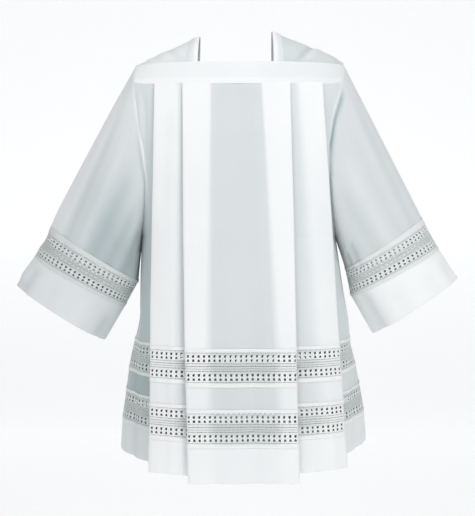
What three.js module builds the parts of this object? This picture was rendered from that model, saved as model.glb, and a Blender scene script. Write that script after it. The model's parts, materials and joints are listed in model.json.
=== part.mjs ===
// A pleated surplice with two lace insertions round the skirt and one round each sleeve, standing
// hollow in the form that it takes when worn. Millimetres, +Z up, the front towards -Y. The origin
// lies between the two neck points of the shoulders, where the wearer carries it.
import * as THREE from 'three';

// Driving dimensions
const CLOTH = 1.2;                 // thickness of a single wall
const BAND_CLOTH = 2.0;            // yoke band: two layers with the pleat heads between them
const SEAM = 0.3;                  // gap between two pieces at an upright seam
const LEVEL_SEAM = 0.85;           // and at a level one, where the pleats' bends lean
const BAND_TOP = -63;
const BAND_HEIGHT = 43;
const BAND_STAND = 4;              // how far the band stands out over the pleats' middle
const BAND_END_STAND = 1;          // and at its ends, where it covers a single layer
const UPPER_LACE_TOP = -615;
const LACE_HEIGHT = 70;
const STRIP_HEIGHT = 45;           // plain cloth between the two insertions
const HEM_HEIGHT = 69;
const UNDERARM = -402;
const LIFT_START = -560;           // below this height the skirt's sides are drawn up
const NECK_HEM_WIDTH = 13;

const BAND_BOTTOM = BAND_TOP - BAND_HEIGHT;
const STRIP_TOP = UPPER_LACE_TOP - LACE_HEIGHT;
const LOWER_LACE_TOP = STRIP_TOP - STRIP_HEIGHT;
const HEM_TOP = LOWER_LACE_TOP - LACE_HEIGHT;
const HEM = HEM_TOP - HEM_HEIGHT;

// Lace: one hole of the largest row in each repeat is cut through
const REPEAT = 11;                 // length of one repeat
const HOLE_SHARE = 0.52;           // part of the repeat's length that the hole takes
const HOLE_DEPTH = 10;             // from the insertion's upper edge to the hole's upper edge
const HOLE_HEIGHT = 5.4;
const SLEEVE_HOLES = 23;           // in each half of a sleeve's insertion

const LEFT = -1;
const RIGHT = 1;
const FRONT = -1;
const BACK = 1;

const BAND_DROP = { [LEFT]: 7, [RIGHT]: 4 };   // how much lower its upper edge lies at the ends

function table(columns, rows) {
  return rows.map((row) => Object.fromEntries(columns.map((name, i) => [name, row[i]])));
}

function mix(a, b, share) {
  return a + (b - a) * share;
}

// The value of one column of a table at a height, by straight lines between its rows.
function at(rows, column, height, key = 'z') {
  const falling = rows[0][key] > rows[rows.length - 1][key];
  for (let i = 1; i < rows.length; i += 1) {
    const [a, b] = [rows[i - 1], rows[i]];
    const reached = falling ? height >= b[key] : height <= b[key];
    if (reached || i === rows.length - 1) {
      const share = (height - a[key]) / (b[key] - a[key]);
      return mix(a[column], b[column], Math.min(1, Math.max(0, share)));
    }
  }
  return rows[0][column];
}

// Skirt below the underarm: x of the two side seams. Depth of the front and back at the middle.
const SIDES = table(['z', 'left', 'right'], [
  [UNDERARM, -187, 197],
  [-500, -190, 212],
  [-564, -194, 223],
  [-615, -205, 229],
  [-676, -213, 239],
  [-730, -218, 246],
  [-800, -226, 255],
  [HEM, -230, 259],
]);
const DEPTHS = table(['z', 'front', 'back'], [
  [BAND_TOP, 82, 90],
  [BAND_BOTTOM, 91, 101],
  [-200, 112, 121],
  [-300, 122, 128],
  [UNDERARM, 128, 131],
  [-615, 146, 142],
  [HEM, 168, 160],
]);

// Armhole: x by height on each side, and its half depth towards the front and the back.
const ARMHOLE = table(['z', 'left', 'right'], [
  [-60, -197, 212],
  [-110, -199, 203],
  [-170, -190, 187],
  [-238, -180, 178],
  [-292, -173, 179],
  [-345, -177, 185],
  [UNDERARM, -187, 197],
]);
const ARMHOLE_TOP = { [LEFT]: -66, [RIGHT]: -62 };
const ARMHOLE_DEPTH = { [FRONT]: 85, [BACK]: 95 };
const ARMHOLE_ROUND = 0.8;
const ROUNDNESS = 0.75;            // of the body's section: 1 is an ellipse, less is squarer

// Shoulder ridge from the neck to the sleeve, x counted outwards.
const RIDGE = {
  [LEFT]: table(['x', 'z'], [[72, -8], [94, -18], [132, -36], [160, -50], [182, -61], [197, -66]]),
  [RIGHT]: table(['x', 'z'], [[72, 2], [96, -10], [116, -18], [148, -31], [184, -44], [212, -61.5]]),
};
const NECK = { [LEFT]: 75, [RIGHT]: 74 };
const SHOULDER_COLUMNS = 6;
const SHOULDER_SEAM = 0.9;          // gap to the bands, which lean

// Pleats: x of each fold's edge, and how far the cloth runs back under it, at the yoke and the hem.
const PLEATS = {
  [FRONT]: {
    [LEFT]: table(['z', 'fold1', 'under1', 'fold2', 'under2'], [
      [BAND_BOTTOM, -103, 53, -157, 48],
      [UPPER_LACE_TOP, -95, 36, -160, 47],
      [HEM, -88, 33, -162, 46],
    ]),
    [RIGHT]: table(['z', 'fold1', 'under1', 'fold2', 'under2'], [
      [BAND_BOTTOM, 104, 54, 167, 49],
      [UPPER_LACE_TOP, 113, 28, 194, 36],
      [HEM, 118, 22, 208, 33],
    ]),
  },
  [BACK]: {
    [LEFT]: table(['z', 'fold1', 'under1', 'fold2', 'under2'], [
      [BAND_BOTTOM, -102, 52, -158, 48],
      [UPPER_LACE_TOP, -92, 40, -160, 46],
      [HEM, -84, 34, -162, 44],
    ]),
    [RIGHT]: table(['z', 'fold1', 'under1', 'fold2', 'under2'], [
      [BAND_BOTTOM, 104, 53, 165, 48],
      [UPPER_LACE_TOP, 112, 34, 190, 40],
      [HEM, 120, 30, 203, 36],
    ]),
  },
};
// Distance between the layers of a pleat, pressed at the yoke and open at the hem.
const LAYERS = table(['z', 'gap'], [
  [BAND_BOTTOM, 2.3],
  [-170, 3.2],
  [UNDERARM, 5.0],
  [HEM, 8.5],
]);
const MIDDLE_CREASE_AT_HEM = { [FRONT]: 34, [BACK]: 6 };
const SIDE_LIFT = { [LEFT]: 50, [RIGHT]: 69 };

// Sleeves: the upper and the lower corner of each ring, x counted outwards, and its half depths.
const SLEEVES = {
  [LEFT]: table(['ring', 'topX', 'topZ', 'underX', 'underZ', 'front', 'back'], [
    [1, 371, -393, 196, -494, 88, 91],
    [2, 396, -446, 221, -541, 86, 88],
    [3, 436, -500, 262, -610, 82, 84],
  ]),
  [RIGHT]: table(['ring', 'topX', 'topZ', 'underX', 'underZ', 'front', 'back'], [
    [1, 374, -376, 219, -469, 88, 91],
    [2, 402, -427, 230, -521, 86, 88],
    [3, 441, -486, 273, -597, 82, 84],
  ]),
};
const SLEEVE_ROUND = 0.86;
const SLEEVE_START = { top: 1.8, under: 2.0 };   // from the armhole's edge to the sleeve's
const SLEEVE_SIDES = 24;
const SLEEVE_FULLNESS = 7;         // the sleeve swells between the armhole and its insertion
// Troughs that run down a cuff: place round the ring in degrees from its upper corner, the ring
// at which each starts, its depth and its half width in degrees. Front is 0 to 180.
const CUFF_TROUGHS = {
  [LEFT]: table(['place', 'start', 'depth', 'half'], [[34, 2.2, 4, 14], [150, 2.3, 5, 14]]),
  [RIGHT]: table(['place', 'start', 'depth', 'half'], [[146, 2.0, 9, 15], [215, 2.1, 5, 16]]),
};

// ---- Body of the garment: one curve for each height, in front and at the back ----

function armholePoint(side, face, angle) {
  const centre = (ARMHOLE_TOP[side] + UNDERARM) / 2;
  const half = (ARMHOLE_TOP[side] - UNDERARM) / 2;
  const z = centre + half * Math.cos(angle);
  const y = face * ARMHOLE_DEPTH[face] * Math.abs(Math.sin(angle)) ** ARMHOLE_ROUND;
  return new THREE.Vector3(at(ARMHOLE, side === LEFT ? 'left' : 'right', z), y, z);
}

// Where the front or the back ends at a height: at the armhole, or below it at the side seam.
function edgeOf(side, face, z) {
  const name = side === LEFT ? 'left' : 'right';
  if (z <= UNDERARM) return { x: at(SIDES, name, z), depth: SEAM / 2 };
  const half = (ARMHOLE_TOP[side] - UNDERARM) / 2;
  const cosine = Math.min(1, (z - (ARMHOLE_TOP[side] + UNDERARM) / 2) / half);
  const point = armholePoint(side, face, Math.acos(cosine));
  return { x: point.x, depth: Math.max(SEAM / 2, Math.abs(point.y)) };
}

// Half of the garment's section is a rounded curve over an angle, 0 at the middle of the front or
// back and a quarter turn at the side. The armhole cuts it off earlier, at the edge's angle.
function sectionOf(side, face, z) {
  const edge = edgeOf(side, face, z);
  const middle = middleAt(z);
  const depth = at(DEPTHS, face === FRONT ? 'front' : 'back', z) - SEAM / 2;
  const share = Math.min(1, Math.max(0, edge.depth - SEAM / 2) / depth);
  const turn = Math.acos(share ** (1 / ROUNDNESS));
  return { middle, depth, turn, reach: (edge.x - middle) / Math.sin(turn) };
}

function turnAt(side, face, z) {
  return sectionOf(side, face, z).turn;
}

function bodyPlace(side, face, angle, z) {
  const { middle, depth, reach } = sectionOf(side, face, z);
  return {
    x: middle + reach * Math.sin(angle),
    y: SEAM / 2 + depth * Math.max(0, Math.cos(angle)) ** ROUNDNESS,
  };
}

function middleAt(z) {
  return mix(0, 15, Math.min(1, Math.max(0, (z - UNDERARM) / (HEM - UNDERARM))));
}

// A point of the body, moved out by `stand` and up by `lift`.
function bodyPoint(side, face, angle, z, stand, lift = 0) {
  const step = 0.004;
  const here = bodyPlace(side, face, angle, z);
  const before = bodyPlace(side, face, Math.max(0, angle - step), z);
  const after = bodyPlace(side, face, Math.min(turnAt(side, face, z), angle + step), z);
  const out = new THREE.Vector2(side * (before.y - after.y), side * (after.x - before.x)).normalize();
  const raised = z + lift * Math.max(0, (z - LIFT_START) / (HEM - LIFT_START));
  return new THREE.Vector3(here.x + out.x * side * stand, face * (here.y + out.y * stand), raised);
}

function angleOf(side, face, x, z) {
  const { middle, reach } = sectionOf(side, face, z);
  return Math.asin(Math.min(1, Math.max(0, (x - middle) / reach)));
}

// The pleated cloth at one height, from its middle crease to one edge. `visible` marks the
// stretches that lie outermost: 1 the middle panel, 2 the second panel, 3 the side panel.
function pleatPath(side, face, z) {
  const rows = PLEATS[face][side];
  const fold1 = Math.abs(at(rows, 'fold1', z));
  const fold2 = Math.abs(at(rows, 'fold2', z));
  const inner1 = fold1 - at(rows, 'under1', z);
  const inner2 = fold2 - at(rows, 'under2', z);
  const gap = at(LAYERS, 'gap', z);
  const bend = gap / 2;
  const crease = side * mix(0, MIDDLE_CREASE_AT_HEM[face], Math.max(0, (z - BAND_BOTTOM) / (HEM - BAND_BOTTOM)));
  const valley = mix(fold1, inner2, 0.5);
  const byX = (x, layer, visible = 0, lift = 0) => (
    { x: side * x, stand: layer * gap, visible, lift: lift * SIDE_LIFT[side] }
  );
  const path = [
    byX(crease, 0.45, 1),
    byX(mix(crease, inner1, 0.55), 1.0, 1),
    byX(inner1, 2.0, 1),
    byX(fold1 - bend, 2.3, 1),
    byX(fold1, 1.8, 0, 0.02),
    byX(fold1 - bend, 1.3, 0, 0.06),
    byX(inner1 + bend, 1.3, 0, 0.12),
    byX(inner1, 0.8, 0, 0.16),
    byX(inner1 + bend, 0.3, 0, 0.2),
    byX(fold1 + 1.5, 0.5, 2, 0.26),
    byX(valley + 2, 1.2, 2, 0.28),
    byX(inner2 + 3.5, 1.95, 2, 0.31),
    byX(fold2 - bend, 2.0, 2, 0.34),
    byX(fold2, 1.5, 0, 0.38),
    byX(fold2 - bend, 1.0, 0, 0.42),
    byX(inner2 + bend, 1.0, 0, 0.48),
    byX(inner2, 0.5, 0, 0.52),
    byX(inner2 + bend, 0, 0, 0.56),
    byX(fold2 + 1, 0, 3, 0.66),
  ];
  const points = path.map((p) => {
    const angle = angleOf(side, face, p.x, z);
    const crossing = Math.sign(p.x - middleAt(z)) !== side;
    const place = crossing
      ? bodyPoint(-side, face, angleOf(-side, face, p.x, z), z, p.stand)
      : bodyPoint(side, face, angle, z, p.stand, p.lift);
    return { place, visible: p.visible };
  });
  const start = angleOf(side, face, side * (fold2 + 1), z);
  for (const share of [0.36, 0.7, 1]) {
    const angle = mix(start, turnAt(side, face, z), share);
    const lift = mix(0.66, 1, share) * SIDE_LIFT[side];
    points.push({ place: bodyPoint(side, face, angle, z, 0, lift), visible: 3 });
  }
  return points;
}

// The whole front or back at one height, from the left edge to the right one.
function pleatRing(face, z) {
  const left = pleatPath(LEFT, face, z).reverse();
  const right = pleatPath(RIGHT, face, z);
  return [...left, ...right.slice(1)];
}

// ---- Walls: a middle surface of rings, given its thickness ----

// Rings are arrays of { p, n, at }; two neighbours may have unlike numbers of points.
function stitch(lower, upper) {
  const triangles = [];
  let i = 0;
  let j = 0;
  while (i < lower.length - 1 || j < upper.length - 1) {
    const nextLower = i < lower.length - 1 ? lower[i + 1].at : Infinity;
    const nextUpper = j < upper.length - 1 ? upper[j + 1].at : Infinity;
    if (nextLower <= nextUpper) {
      triangles.push([lower[i].id, lower[i + 1].id, upper[j].id]);
      i += 1;
    } else {
      triangles.push([lower[i].id, upper[j + 1].id, upper[j].id]);
      j += 1;
    }
  }
  return triangles;
}

// A closed wall. `holes` tells of each cell of one band of cells whether it is cut through.
function wall(name, rings, colour, { thickness = CLOTH, closed = false, holes = null } = {}) {
  const points = [];
  for (const ring of rings) {
    ring.forEach((point, i) => {
      const last = closed && i === ring.length - 1;
      point.id = last ? ring[0].id : points.push(point) - 1;
    });
  }
  let middle = [];
  for (let j = 0; j < rings.length - 1; j += 1) {
    const [lower, upper] = [rings[j], rings[j + 1]];
    if (holes && holes.band === j) {
      for (let i = 0; i < lower.length - 1; i += 1) {
        if (!holes.cut(i)) middle.push(...stitch(lower.slice(i, i + 2), upper.slice(i, i + 2)));
      }
    } else {
      middle.push(...stitch(lower, upper));
    }
  }
  const [a, b, c] = middle[0].map((id) => points[id]);
  const facing = b.p.clone().sub(a.p).cross(c.p.clone().sub(a.p)).dot(a.n);
  if (facing < 0) middle = middle.map(([p, q, r]) => [p, r, q]);
  const count = points.length;
  const triangles = [];
  const edges = new Map();
  for (const [p, q, r] of middle) {
    triangles.push([p, q, r], [p + count, r + count, q + count]);
    for (const [from, to] of [[p, q], [q, r], [r, p]]) {
      if (!edges.delete(`${to},${from}`)) edges.set(`${from},${to}`, [from, to]);
    }
  }
  for (const [from, to] of edges.values()) {
    triangles.push([from, from + count, to + count], [from, to + count, to]);
  }
  const positions = [];
  for (const sign of [1, -1]) {
    for (const point of points) {
      positions.push(...point.p.clone().addScaledVector(point.n, (sign * thickness) / 2));
    }
  }
  const geometry = new THREE.BufferGeometry();
  geometry.setAttribute('position', new THREE.Float32BufferAttribute(positions, 3));
  geometry.setIndex(triangles.flat());
  const material = new THREE.MeshStandardMaterial({ color: colour, roughness: 0.85, metalness: 0 });
  const mesh = new THREE.Mesh(geometry, material);
  mesh.name = name;
  return mesh;
}

// Normals of one ring from its own line and from the directions across it; a bend's normal is
// lengthened so that the wall keeps its thickness round it.
function withNormals(places, across, closed = false) {
  const count = places.length;
  return places.map((p, i) => {
    const before = i > 0 ? places[i - 1] : closed && places[count - 2];
    const after = i < count - 1 ? places[i + 1] : closed && places[1];
    const sides = [before && p.clone().sub(before), after && after.clone().sub(p)].filter(Boolean);
    const normals = sides.map((along) => along.normalize().cross(across[i]).normalize());
    const n = normals.reduce((sum, one) => sum.add(one), new THREE.Vector3()).normalize();
    const along = sides[0].clone().normalize();
    const first = along.cross(across[i]).normalize();
    return { p, n: n.multiplyScalar(1 / Math.max(0.7, n.dot(normals.length > 1 ? normals[1] : first))), at: i };
  });
}

// ---- Pieces of the body ----

const WHITE = 0xf2f5f6;
const SHEER = 0xdfe6e8;
const LACE = 0xe6ebeb;

function bodyRing(face, z) {
  const places = pleatRing(face, z).map((point) => point.place);
  const above = pleatRing(face, z + 3).map((point) => point.place);
  const below = pleatRing(face, z - 3).map((point) => point.place);
  const across = above.map((place, i) => place.clone().sub(below[i]).normalize());
  return withNormals(places, across);
}

function bodyWall(name, face, heights, colour) {
  return wall(name, heights.map((z) => bodyRing(face, z)), colour);
}

// Columns of an insertion: at each bend of the pleats, and at the two sides of each hole.
function laceColumns(face, z) {
  const ring = pleatRing(face, z);
  const columns = [];
  let i = 0;
  while (i < ring.length - 1) {
    const group = ring[i].visible;
    let end = i;
    while (group && end < ring.length - 1 && ring[end + 1].visible === group) end += 1;
    if (end === i) {
      columns.push({ at: i, kind: 'bend' });
      i += 1;
      continue;
    }
    const lengths = [0];
    for (let k = i; k < end; k += 1) {
      lengths.push(lengths[k - i] + ring[k].place.distanceTo(ring[k + 1].place));
    }
    const total = lengths[lengths.length - 1];
    const place = (along) => {
      let k = 1;
      while (k < lengths.length - 1 && lengths[k] < along) k += 1;
      return i + k - 1 + (along - lengths[k - 1]) / (lengths[k] - lengths[k - 1]);
    };
    const holes = Math.floor((total - 2) / REPEAT);
    const margin = (total - holes * REPEAT) / 2;
    columns.push({ at: i, kind: 'bend' });
    for (let h = 0; h < holes; h += 1) {
      const middle = margin + (h + 0.5) * REPEAT;
      const half = (HOLE_SHARE * REPEAT) / 2;
      columns.push({ at: place(middle - half), kind: 'hole', keep: h % 2 === 0 });
      columns.push({ at: place(middle + half), kind: 'bar' });
    }
    columns.push({ at: end, kind: 'bend' });
    i = end + 1;
  }
  if (columns[columns.length - 1].at < ring.length - 1) {
    columns.push({ at: ring.length - 1, kind: 'bend' });
  }
  return columns;
}

function laceRing(face, z, columns) {
  const between = (ring) => columns.map(({ at: spot }) => {
    const k = Math.min(ring.length - 2, Math.floor(spot));
    return ring[k].place.clone().lerp(ring[k + 1].place, spot - k);
  });
  const above = between(pleatRing(face, z + 3));
  const below = between(pleatRing(face, z - 3));
  const across = above.map((place, i) => place.clone().sub(below[i]).normalize());
  const ring = withNormals(between(pleatRing(face, z)), across);
  ring.forEach((point, i) => { point.at = columns[i].at; });
  return ring;
}

function laceWall(name, face, top) {
  const columns = laceColumns(face, top - LACE_HEIGHT / 2);
  const sparse = columns.filter((column) => column.kind === 'bend' || column.keep);
  const holeTop = top - HOLE_DEPTH;
  const rings = [
    laceRing(face, top - LEVEL_SEAM / 2, sparse),
    laceRing(face, holeTop, columns),
    laceRing(face, holeTop - HOLE_HEIGHT, columns),
    laceRing(face, top - LACE_HEIGHT + LEVEL_SEAM / 2, sparse),
  ];
  const holes = { band: 1, cut: (i) => columns[i].kind === 'hole' };
  return wall(name, rings, LACE, { holes });
}

function neckShare(side, face) {
  return angleOf(side, face, side * NECK[side], BAND_TOP) / turnAt(side, face, BAND_TOP);
}

function steps(count) {
  return Array.from({ length: count + 1 }, (_, i) => i / count);
}

// A point of the band; `share` runs from its middle to its end.
function bandPoint(side, face, share, z, drops) {
  const height = z - drops[side] * share * share;
  const stand = mix(BAND_STAND, BAND_END_STAND, share ** 4);
  return bodyPoint(side, face, turnAt(side, face, height) * share, height, stand);
}

function bandWall(name, face) {
  const level = { [LEFT]: 0, [RIGHT]: 0 };
  const edges = [[BAND_TOP, BAND_DROP], [BAND_BOTTOM + LEVEL_SEAM, level]];
  const rings = edges.map(([z, drops]) => {
    const line = (height) => {
      const places = [];
      for (const side of [LEFT, RIGHT]) {
        const half = [];
        const neck = neckShare(side, face);
        for (const share of [0, neck / 2, ...steps(SHOULDER_COLUMNS).map((k) => mix(neck, 1, k))]) {
          half.push(bandPoint(side, face, share, height, drops));
        }
        places.push(...(side === LEFT ? half.reverse() : half.slice(1)));
      }
      return places;
    };
    const [above, below] = [line(z + 3), line(z - 3)];
    const across = above.map((place, i) => place.clone().sub(below[i]).normalize());
    return withNormals(line(z), across);
  });
  return wall(name, rings, WHITE, { thickness: BAND_CLOTH });
}

// ---- Shoulders: an arch from the front band over the ridge to the back band ----

function shoulderPoint(side, share, roll) {
  const face = roll < 0 ? FRONT : BACK;
  const foot = bandPoint(side, face, mix(neckShare(side, face), 1, share), BAND_TOP, BAND_DROP);
  const neckRidge = RIDGE[side][0].x;
  const seamRidge = RIDGE[side][RIDGE[side].length - 1].x;
  const out = mix(neckRidge, seamRidge, share);
  const top = at(RIDGE[side], 'z', out, 'x');
  const bow = Math.abs(roll) * (Math.PI / 2);
  const rise = Math.cos(bow) ** 0.9;
  return new THREE.Vector3(
    mix(side * out, foot.x, Math.abs(roll)),
    foot.y * Math.sin(bow),
    foot.z + SHOULDER_SEAM * (1 + share / 2) + (top - foot.z) * rise,
  );
}

function shoulderWall(name, side, from, to, columns, stand, colour) {
  const rolls = [-1, -0.75, -0.5, -0.25, 0, 0.25, 0.5, 0.75, 1];
  const rings = rolls.map((roll) => {
    const line = (turn) => {
      const places = [];
      for (let i = 0; i <= columns; i += 1) {
        places.push(shoulderPoint(side, mix(from, to, i / columns), turn));
      }
      return places;
    };
    const step = 0.04;
    const ahead = line(Math.min(1, roll + step));
    const behind = line(Math.max(-1, roll - step));
    const across = ahead.map((place, i) => place.clone().sub(behind[i]).normalize());
    const ring = withNormals(line(roll), across);
    for (const point of ring) {
      if (point.n.z + Math.sign(point.p.y) * point.n.y < 0) point.n.negate();
      point.p.addScaledVector(point.n, stand);
    }
    return ring;
  });
  return wall(name, rings, colour);
}

// ---- Sleeves: rings from the armhole to the hem of the cuff ----

// `ring` is 0 at the armhole, 1 and 2 at the insertion's edges and 3 at the hem.
function sleevePoint(side, ring, angle) {
  const face = angle <= Math.PI ? FRONT : BACK;
  const turned = Math.min(angle, 2 * Math.PI - angle);
  const rows = SLEEVES[side];
  const spot = Math.max(1, ring);
  const name = face === FRONT ? 'front' : 'back';
  const top = new THREE.Vector3(side * at(rows, 'topX', spot, 'ring'), 0, at(rows, 'topZ', spot, 'ring'));
  const under = new THREE.Vector3(
    side * at(rows, 'underX', spot, 'ring'), 0, at(rows, 'underZ', spot, 'ring'),
  );
  const centre = top.clone().add(under).multiplyScalar(0.5);
  const half = top.clone().sub(under).multiplyScalar(0.5);
  const sine = Math.abs(Math.sin(turned)) ** SLEEVE_ROUND;
  const place = centre.clone().addScaledVector(half, Math.cos(turned));
  place.y = face * at(rows, name, spot, 'ring') * sine;
  const inward = centre.clone().sub(place).normalize();
  for (const trough of CUFF_TROUGHS[side]) {
    const off = (THREE.MathUtils.radToDeg(angle) - trough.place) / trough.half;
    const grown = Math.min(1, Math.max(0, (ring - trough.start) / (3 - trough.start)));
    place.addScaledVector(inward, trough.depth * grown * Math.exp(-off * off));
  }
  if (ring >= 1) return place;
  const armhole = armholePoint(side, face, turned);
  armhole.x += side * mix(SLEEVE_START.top, SLEEVE_START.under, (1 - Math.cos(turned)) / 2);
  const between = armhole.lerp(place, ring);
  between.y += face * SLEEVE_FULLNESS * Math.sin(Math.PI * ring) * sine;
  return between;
}

function sleeveRing(side, ring, angles, closed) {
  const step = 0.01;
  const line = (r) => angles.map((angle) => sleevePoint(side, r, angle));
  const ahead = line(Math.min(3, ring + step));
  const behind = line(Math.max(0, ring - step));
  const across = ahead.map((place, i) => place.clone().sub(behind[i]).normalize());
  const points = withNormals(line(ring), across, closed);
  points.forEach((point, i) => {
    if (side === LEFT) point.n.negate();
    point.at = angles[i];
  });
  return points;
}

const ROUND = Array.from({ length: SLEEVE_SIDES + 1 }, (_, i) => (i / SLEEVE_SIDES) * 2 * Math.PI);

function sleeveWall(name, side, stations, colour) {
  const rings = stations.map((ring) => sleeveRing(side, ring, ROUND, true));
  return wall(name, rings, colour, { closed: true });
}

function sleeveLace(name, side, face) {
  const start = face === FRONT ? 0 : Math.PI;
  const edge = 0.004;
  const columns = [{ angle: start + edge, bend: true }];
  const share = (Math.PI - 0.1) / SLEEVE_HOLES;
  for (let h = 0; h < SLEEVE_HOLES; h += 1) {
    const middle = start + 0.05 + (h + 0.5) * share;
    columns.push({ angle: middle - (HOLE_SHARE * share) / 2, hole: true, bend: h % 2 === 0 });
    columns.push({ angle: middle + (HOLE_SHARE * share) / 2 });
  }
  columns.push({ angle: start + Math.PI - edge, bend: true });
  const dense = columns.map((column) => column.angle);
  const sparse = columns.filter((column) => column.bend).map((column) => column.angle);
  const width = 56;                // the insertion is narrower here than on the skirt
  const rings = [
    sleeveRing(side, 1 + SEAM / width, sparse, false),
    sleeveRing(side, 1 + HOLE_DEPTH / width, dense, false),
    sleeveRing(side, 1 + (HOLE_DEPTH + HOLE_HEIGHT) / width, dense, false),
    sleeveRing(side, 2 - SEAM / width, sparse, false),
  ];
  return wall(name, rings, LACE, { holes: { band: 1, cut: (i) => Boolean(columns[i].hole) } });
}

// ---- The garment ----

const surplice = new THREE.Group();
// The panels' rings meet the sleeves' columns along the armhole.
const ARMHOLE_HEIGHTS = [4, 5, 6, 7, 8, 9, 10, 11].map(
  (step) => armholePoint(LEFT, FRONT, (step / SLEEVE_SIDES) * 2 * Math.PI).z,
);
const PANEL_HEIGHTS = [
  BAND_BOTTOM, ...ARMHOLE_HEIGHTS, UNDERARM, -500, UPPER_LACE_TOP + LEVEL_SEAM / 2,
];

for (const [face, word] of [[FRONT, 'front'], [BACK, 'back']]) {
  surplice.add(bandWall(`yoke_${word}_band`, face));
  surplice.add(bodyWall(`${word}_panel`, face, PANEL_HEIGHTS, SHEER));
  surplice.add(laceWall(`${word}_lace_upper`, face, UPPER_LACE_TOP));
  const stripHeights = [STRIP_TOP - LEVEL_SEAM / 2, LOWER_LACE_TOP + LEVEL_SEAM / 2];
  surplice.add(bodyWall(`${word}_strip`, face, stripHeights, WHITE));
  surplice.add(laceWall(`${word}_lace_lower`, face, LOWER_LACE_TOP));
  const hemHeights = [HEM_TOP - LEVEL_SEAM / 2, mix(HEM_TOP, HEM, 0.5), HEM];
  surplice.add(bodyWall(`${word}_hem`, face, hemHeights, WHITE));
}

for (const [side, word] of [[LEFT, 'left'], [RIGHT, 'right']]) {
  const width = RIDGE[side][RIDGE[side].length - 1].x - RIDGE[side][0].x;
  surplice.add(shoulderWall(`shoulder_${word}`, side, 0, 1, SHOULDER_COLUMNS, 0, SHEER));
  const hemStand = CLOTH + SEAM;
  surplice.add(shoulderWall(`neck_hem_${word}`, side, 0, NECK_HEM_WIDTH / width, 1, hemStand, WHITE));
  surplice.add(sleeveWall(`sleeve_${word}`, side, [0, 0.25, 0.5, 0.75, 1 - SEAM / 400], SHEER));
  surplice.add(sleeveLace(`sleeve_${word}_lace_front`, side, FRONT));
  surplice.add(sleeveLace(`sleeve_${word}_lace_back`, side, BACK));
  surplice.add(sleeveWall(`cuff_${word}`, side, [2 + SEAM / 67, 2.5, 3], WHITE));
}

export default surplice;
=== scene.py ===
# %% [markdown]
# # A pleated surplice with lace insertions
# A surplice is a short white vestment. This one hangs in wide knife pleats from a square yoke, with
# insertion lace round its skirt and sleeves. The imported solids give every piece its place; this
# lesson gives each its fine cloth, its lace and its stitches.

import json
import math

import bpy
import numpy as np
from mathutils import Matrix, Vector


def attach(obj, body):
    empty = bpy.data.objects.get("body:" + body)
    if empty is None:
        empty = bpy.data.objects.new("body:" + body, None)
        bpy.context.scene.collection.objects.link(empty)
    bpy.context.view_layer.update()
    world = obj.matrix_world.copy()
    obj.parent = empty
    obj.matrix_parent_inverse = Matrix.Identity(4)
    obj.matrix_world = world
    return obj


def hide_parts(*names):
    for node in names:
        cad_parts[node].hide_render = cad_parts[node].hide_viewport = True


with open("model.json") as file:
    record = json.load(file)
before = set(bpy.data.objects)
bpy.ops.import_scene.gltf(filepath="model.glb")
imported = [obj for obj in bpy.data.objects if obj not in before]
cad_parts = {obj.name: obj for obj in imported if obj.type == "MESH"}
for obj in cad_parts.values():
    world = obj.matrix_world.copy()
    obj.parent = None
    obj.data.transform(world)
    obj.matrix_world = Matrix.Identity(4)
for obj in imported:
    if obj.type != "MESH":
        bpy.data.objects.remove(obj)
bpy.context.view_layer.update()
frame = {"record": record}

# %% [markdown]
# ## Sizes
# Sizes are in millimetres, and heights count from the neck points of the shoulders. A table has one
# row for each height where the garment was measured, and a smooth curve runs between the rows.

# %% Sizes of the garment
MM = 0.001
LEFT, RIGHT = -1, 1
FRONT, BACK = -1, 1
SIDE_NAME = {LEFT: "left", RIGHT: "right"}
FACE_NAME = {FRONT: "front", BACK: "back"}

BAND_TOP = -63.0
BAND_BOTTOM = -106.0
BAND_DROP = {LEFT: 7.0, RIGHT: 4.0}
BAND_STAND = 4.0
BAND_END_STAND = 1.0
UPPER_LACE_TOP = -615.0
LACE_HEIGHT = 70.0
STRIP_HEIGHT = 45.0
HEM_HEIGHT = 69.0
UNDERARM = -402.0
LIFT_START = -560.0
NECK_HEM_WIDTH = 13.0
SEAM = 0.3

STRIP_TOP = UPPER_LACE_TOP - LACE_HEIGHT
LOWER_LACE_TOP = STRIP_TOP - STRIP_HEIGHT
HEM_TOP = LOWER_LACE_TOP - LACE_HEIGHT
HEM = HEM_TOP - HEM_HEIGHT


def table(names, rows):
    """A dict of columns from a list of rows."""
    return dict(zip(names, np.array(rows, float).T))


def ramp(value, start, end):
    """0 up to the start, 1 from the end on, and straight between."""
    return np.clip((value - start) / (end - start), 0, 1)


EDGES = table(["z", "left", "right"], [
    (-60, -197, 212), (-110, -199, 203), (-170, -190, 187), (-238, -180, 178),
    (-292, -173, 179), (-345, -177, 185), (UNDERARM, -187, 197), (-500, -190, 212),
    (-564, -194, 223), (-615, -205, 229), (-676, -213, 239), (-730, -218, 246),
    (-800, -226, 255), (HEM, -230, 259),
])
DEPTHS = table(["z", "front", "back"], [
    (BAND_TOP, 82, 90), (BAND_BOTTOM, 91, 101), (-200, 112, 121), (-300, 122, 128),
    (UNDERARM, 128, 131), (-615, 146, 142), (HEM, 168, 160),
])
ARMHOLE_TOP = {LEFT: -66.0, RIGHT: -62.0}
ARMHOLE_DEPTH = {FRONT: 85.0, BACK: 95.0}
ARMHOLE_ROUND = 0.8
ROUNDNESS = 0.75
MIDDLE_AT_HEM = 15.0
READ_OVER = 9.0  # a column is averaged this far up and down


def read(rows, name, z):
    """A column at height z: straight lines between the rows, averaged over a short stretch."""
    z = np.asarray(z, float)
    steps = (-1, -0.5, 0, 0.5, 1)
    return sum(np.interp(-(z + READ_OVER * k), -rows["z"], rows[name]) for k in steps) / len(steps)


print("skirt length", -HEM, "mm; width at the hem", EDGES["right"][-1] - EDGES["left"][-1], "mm")

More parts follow.
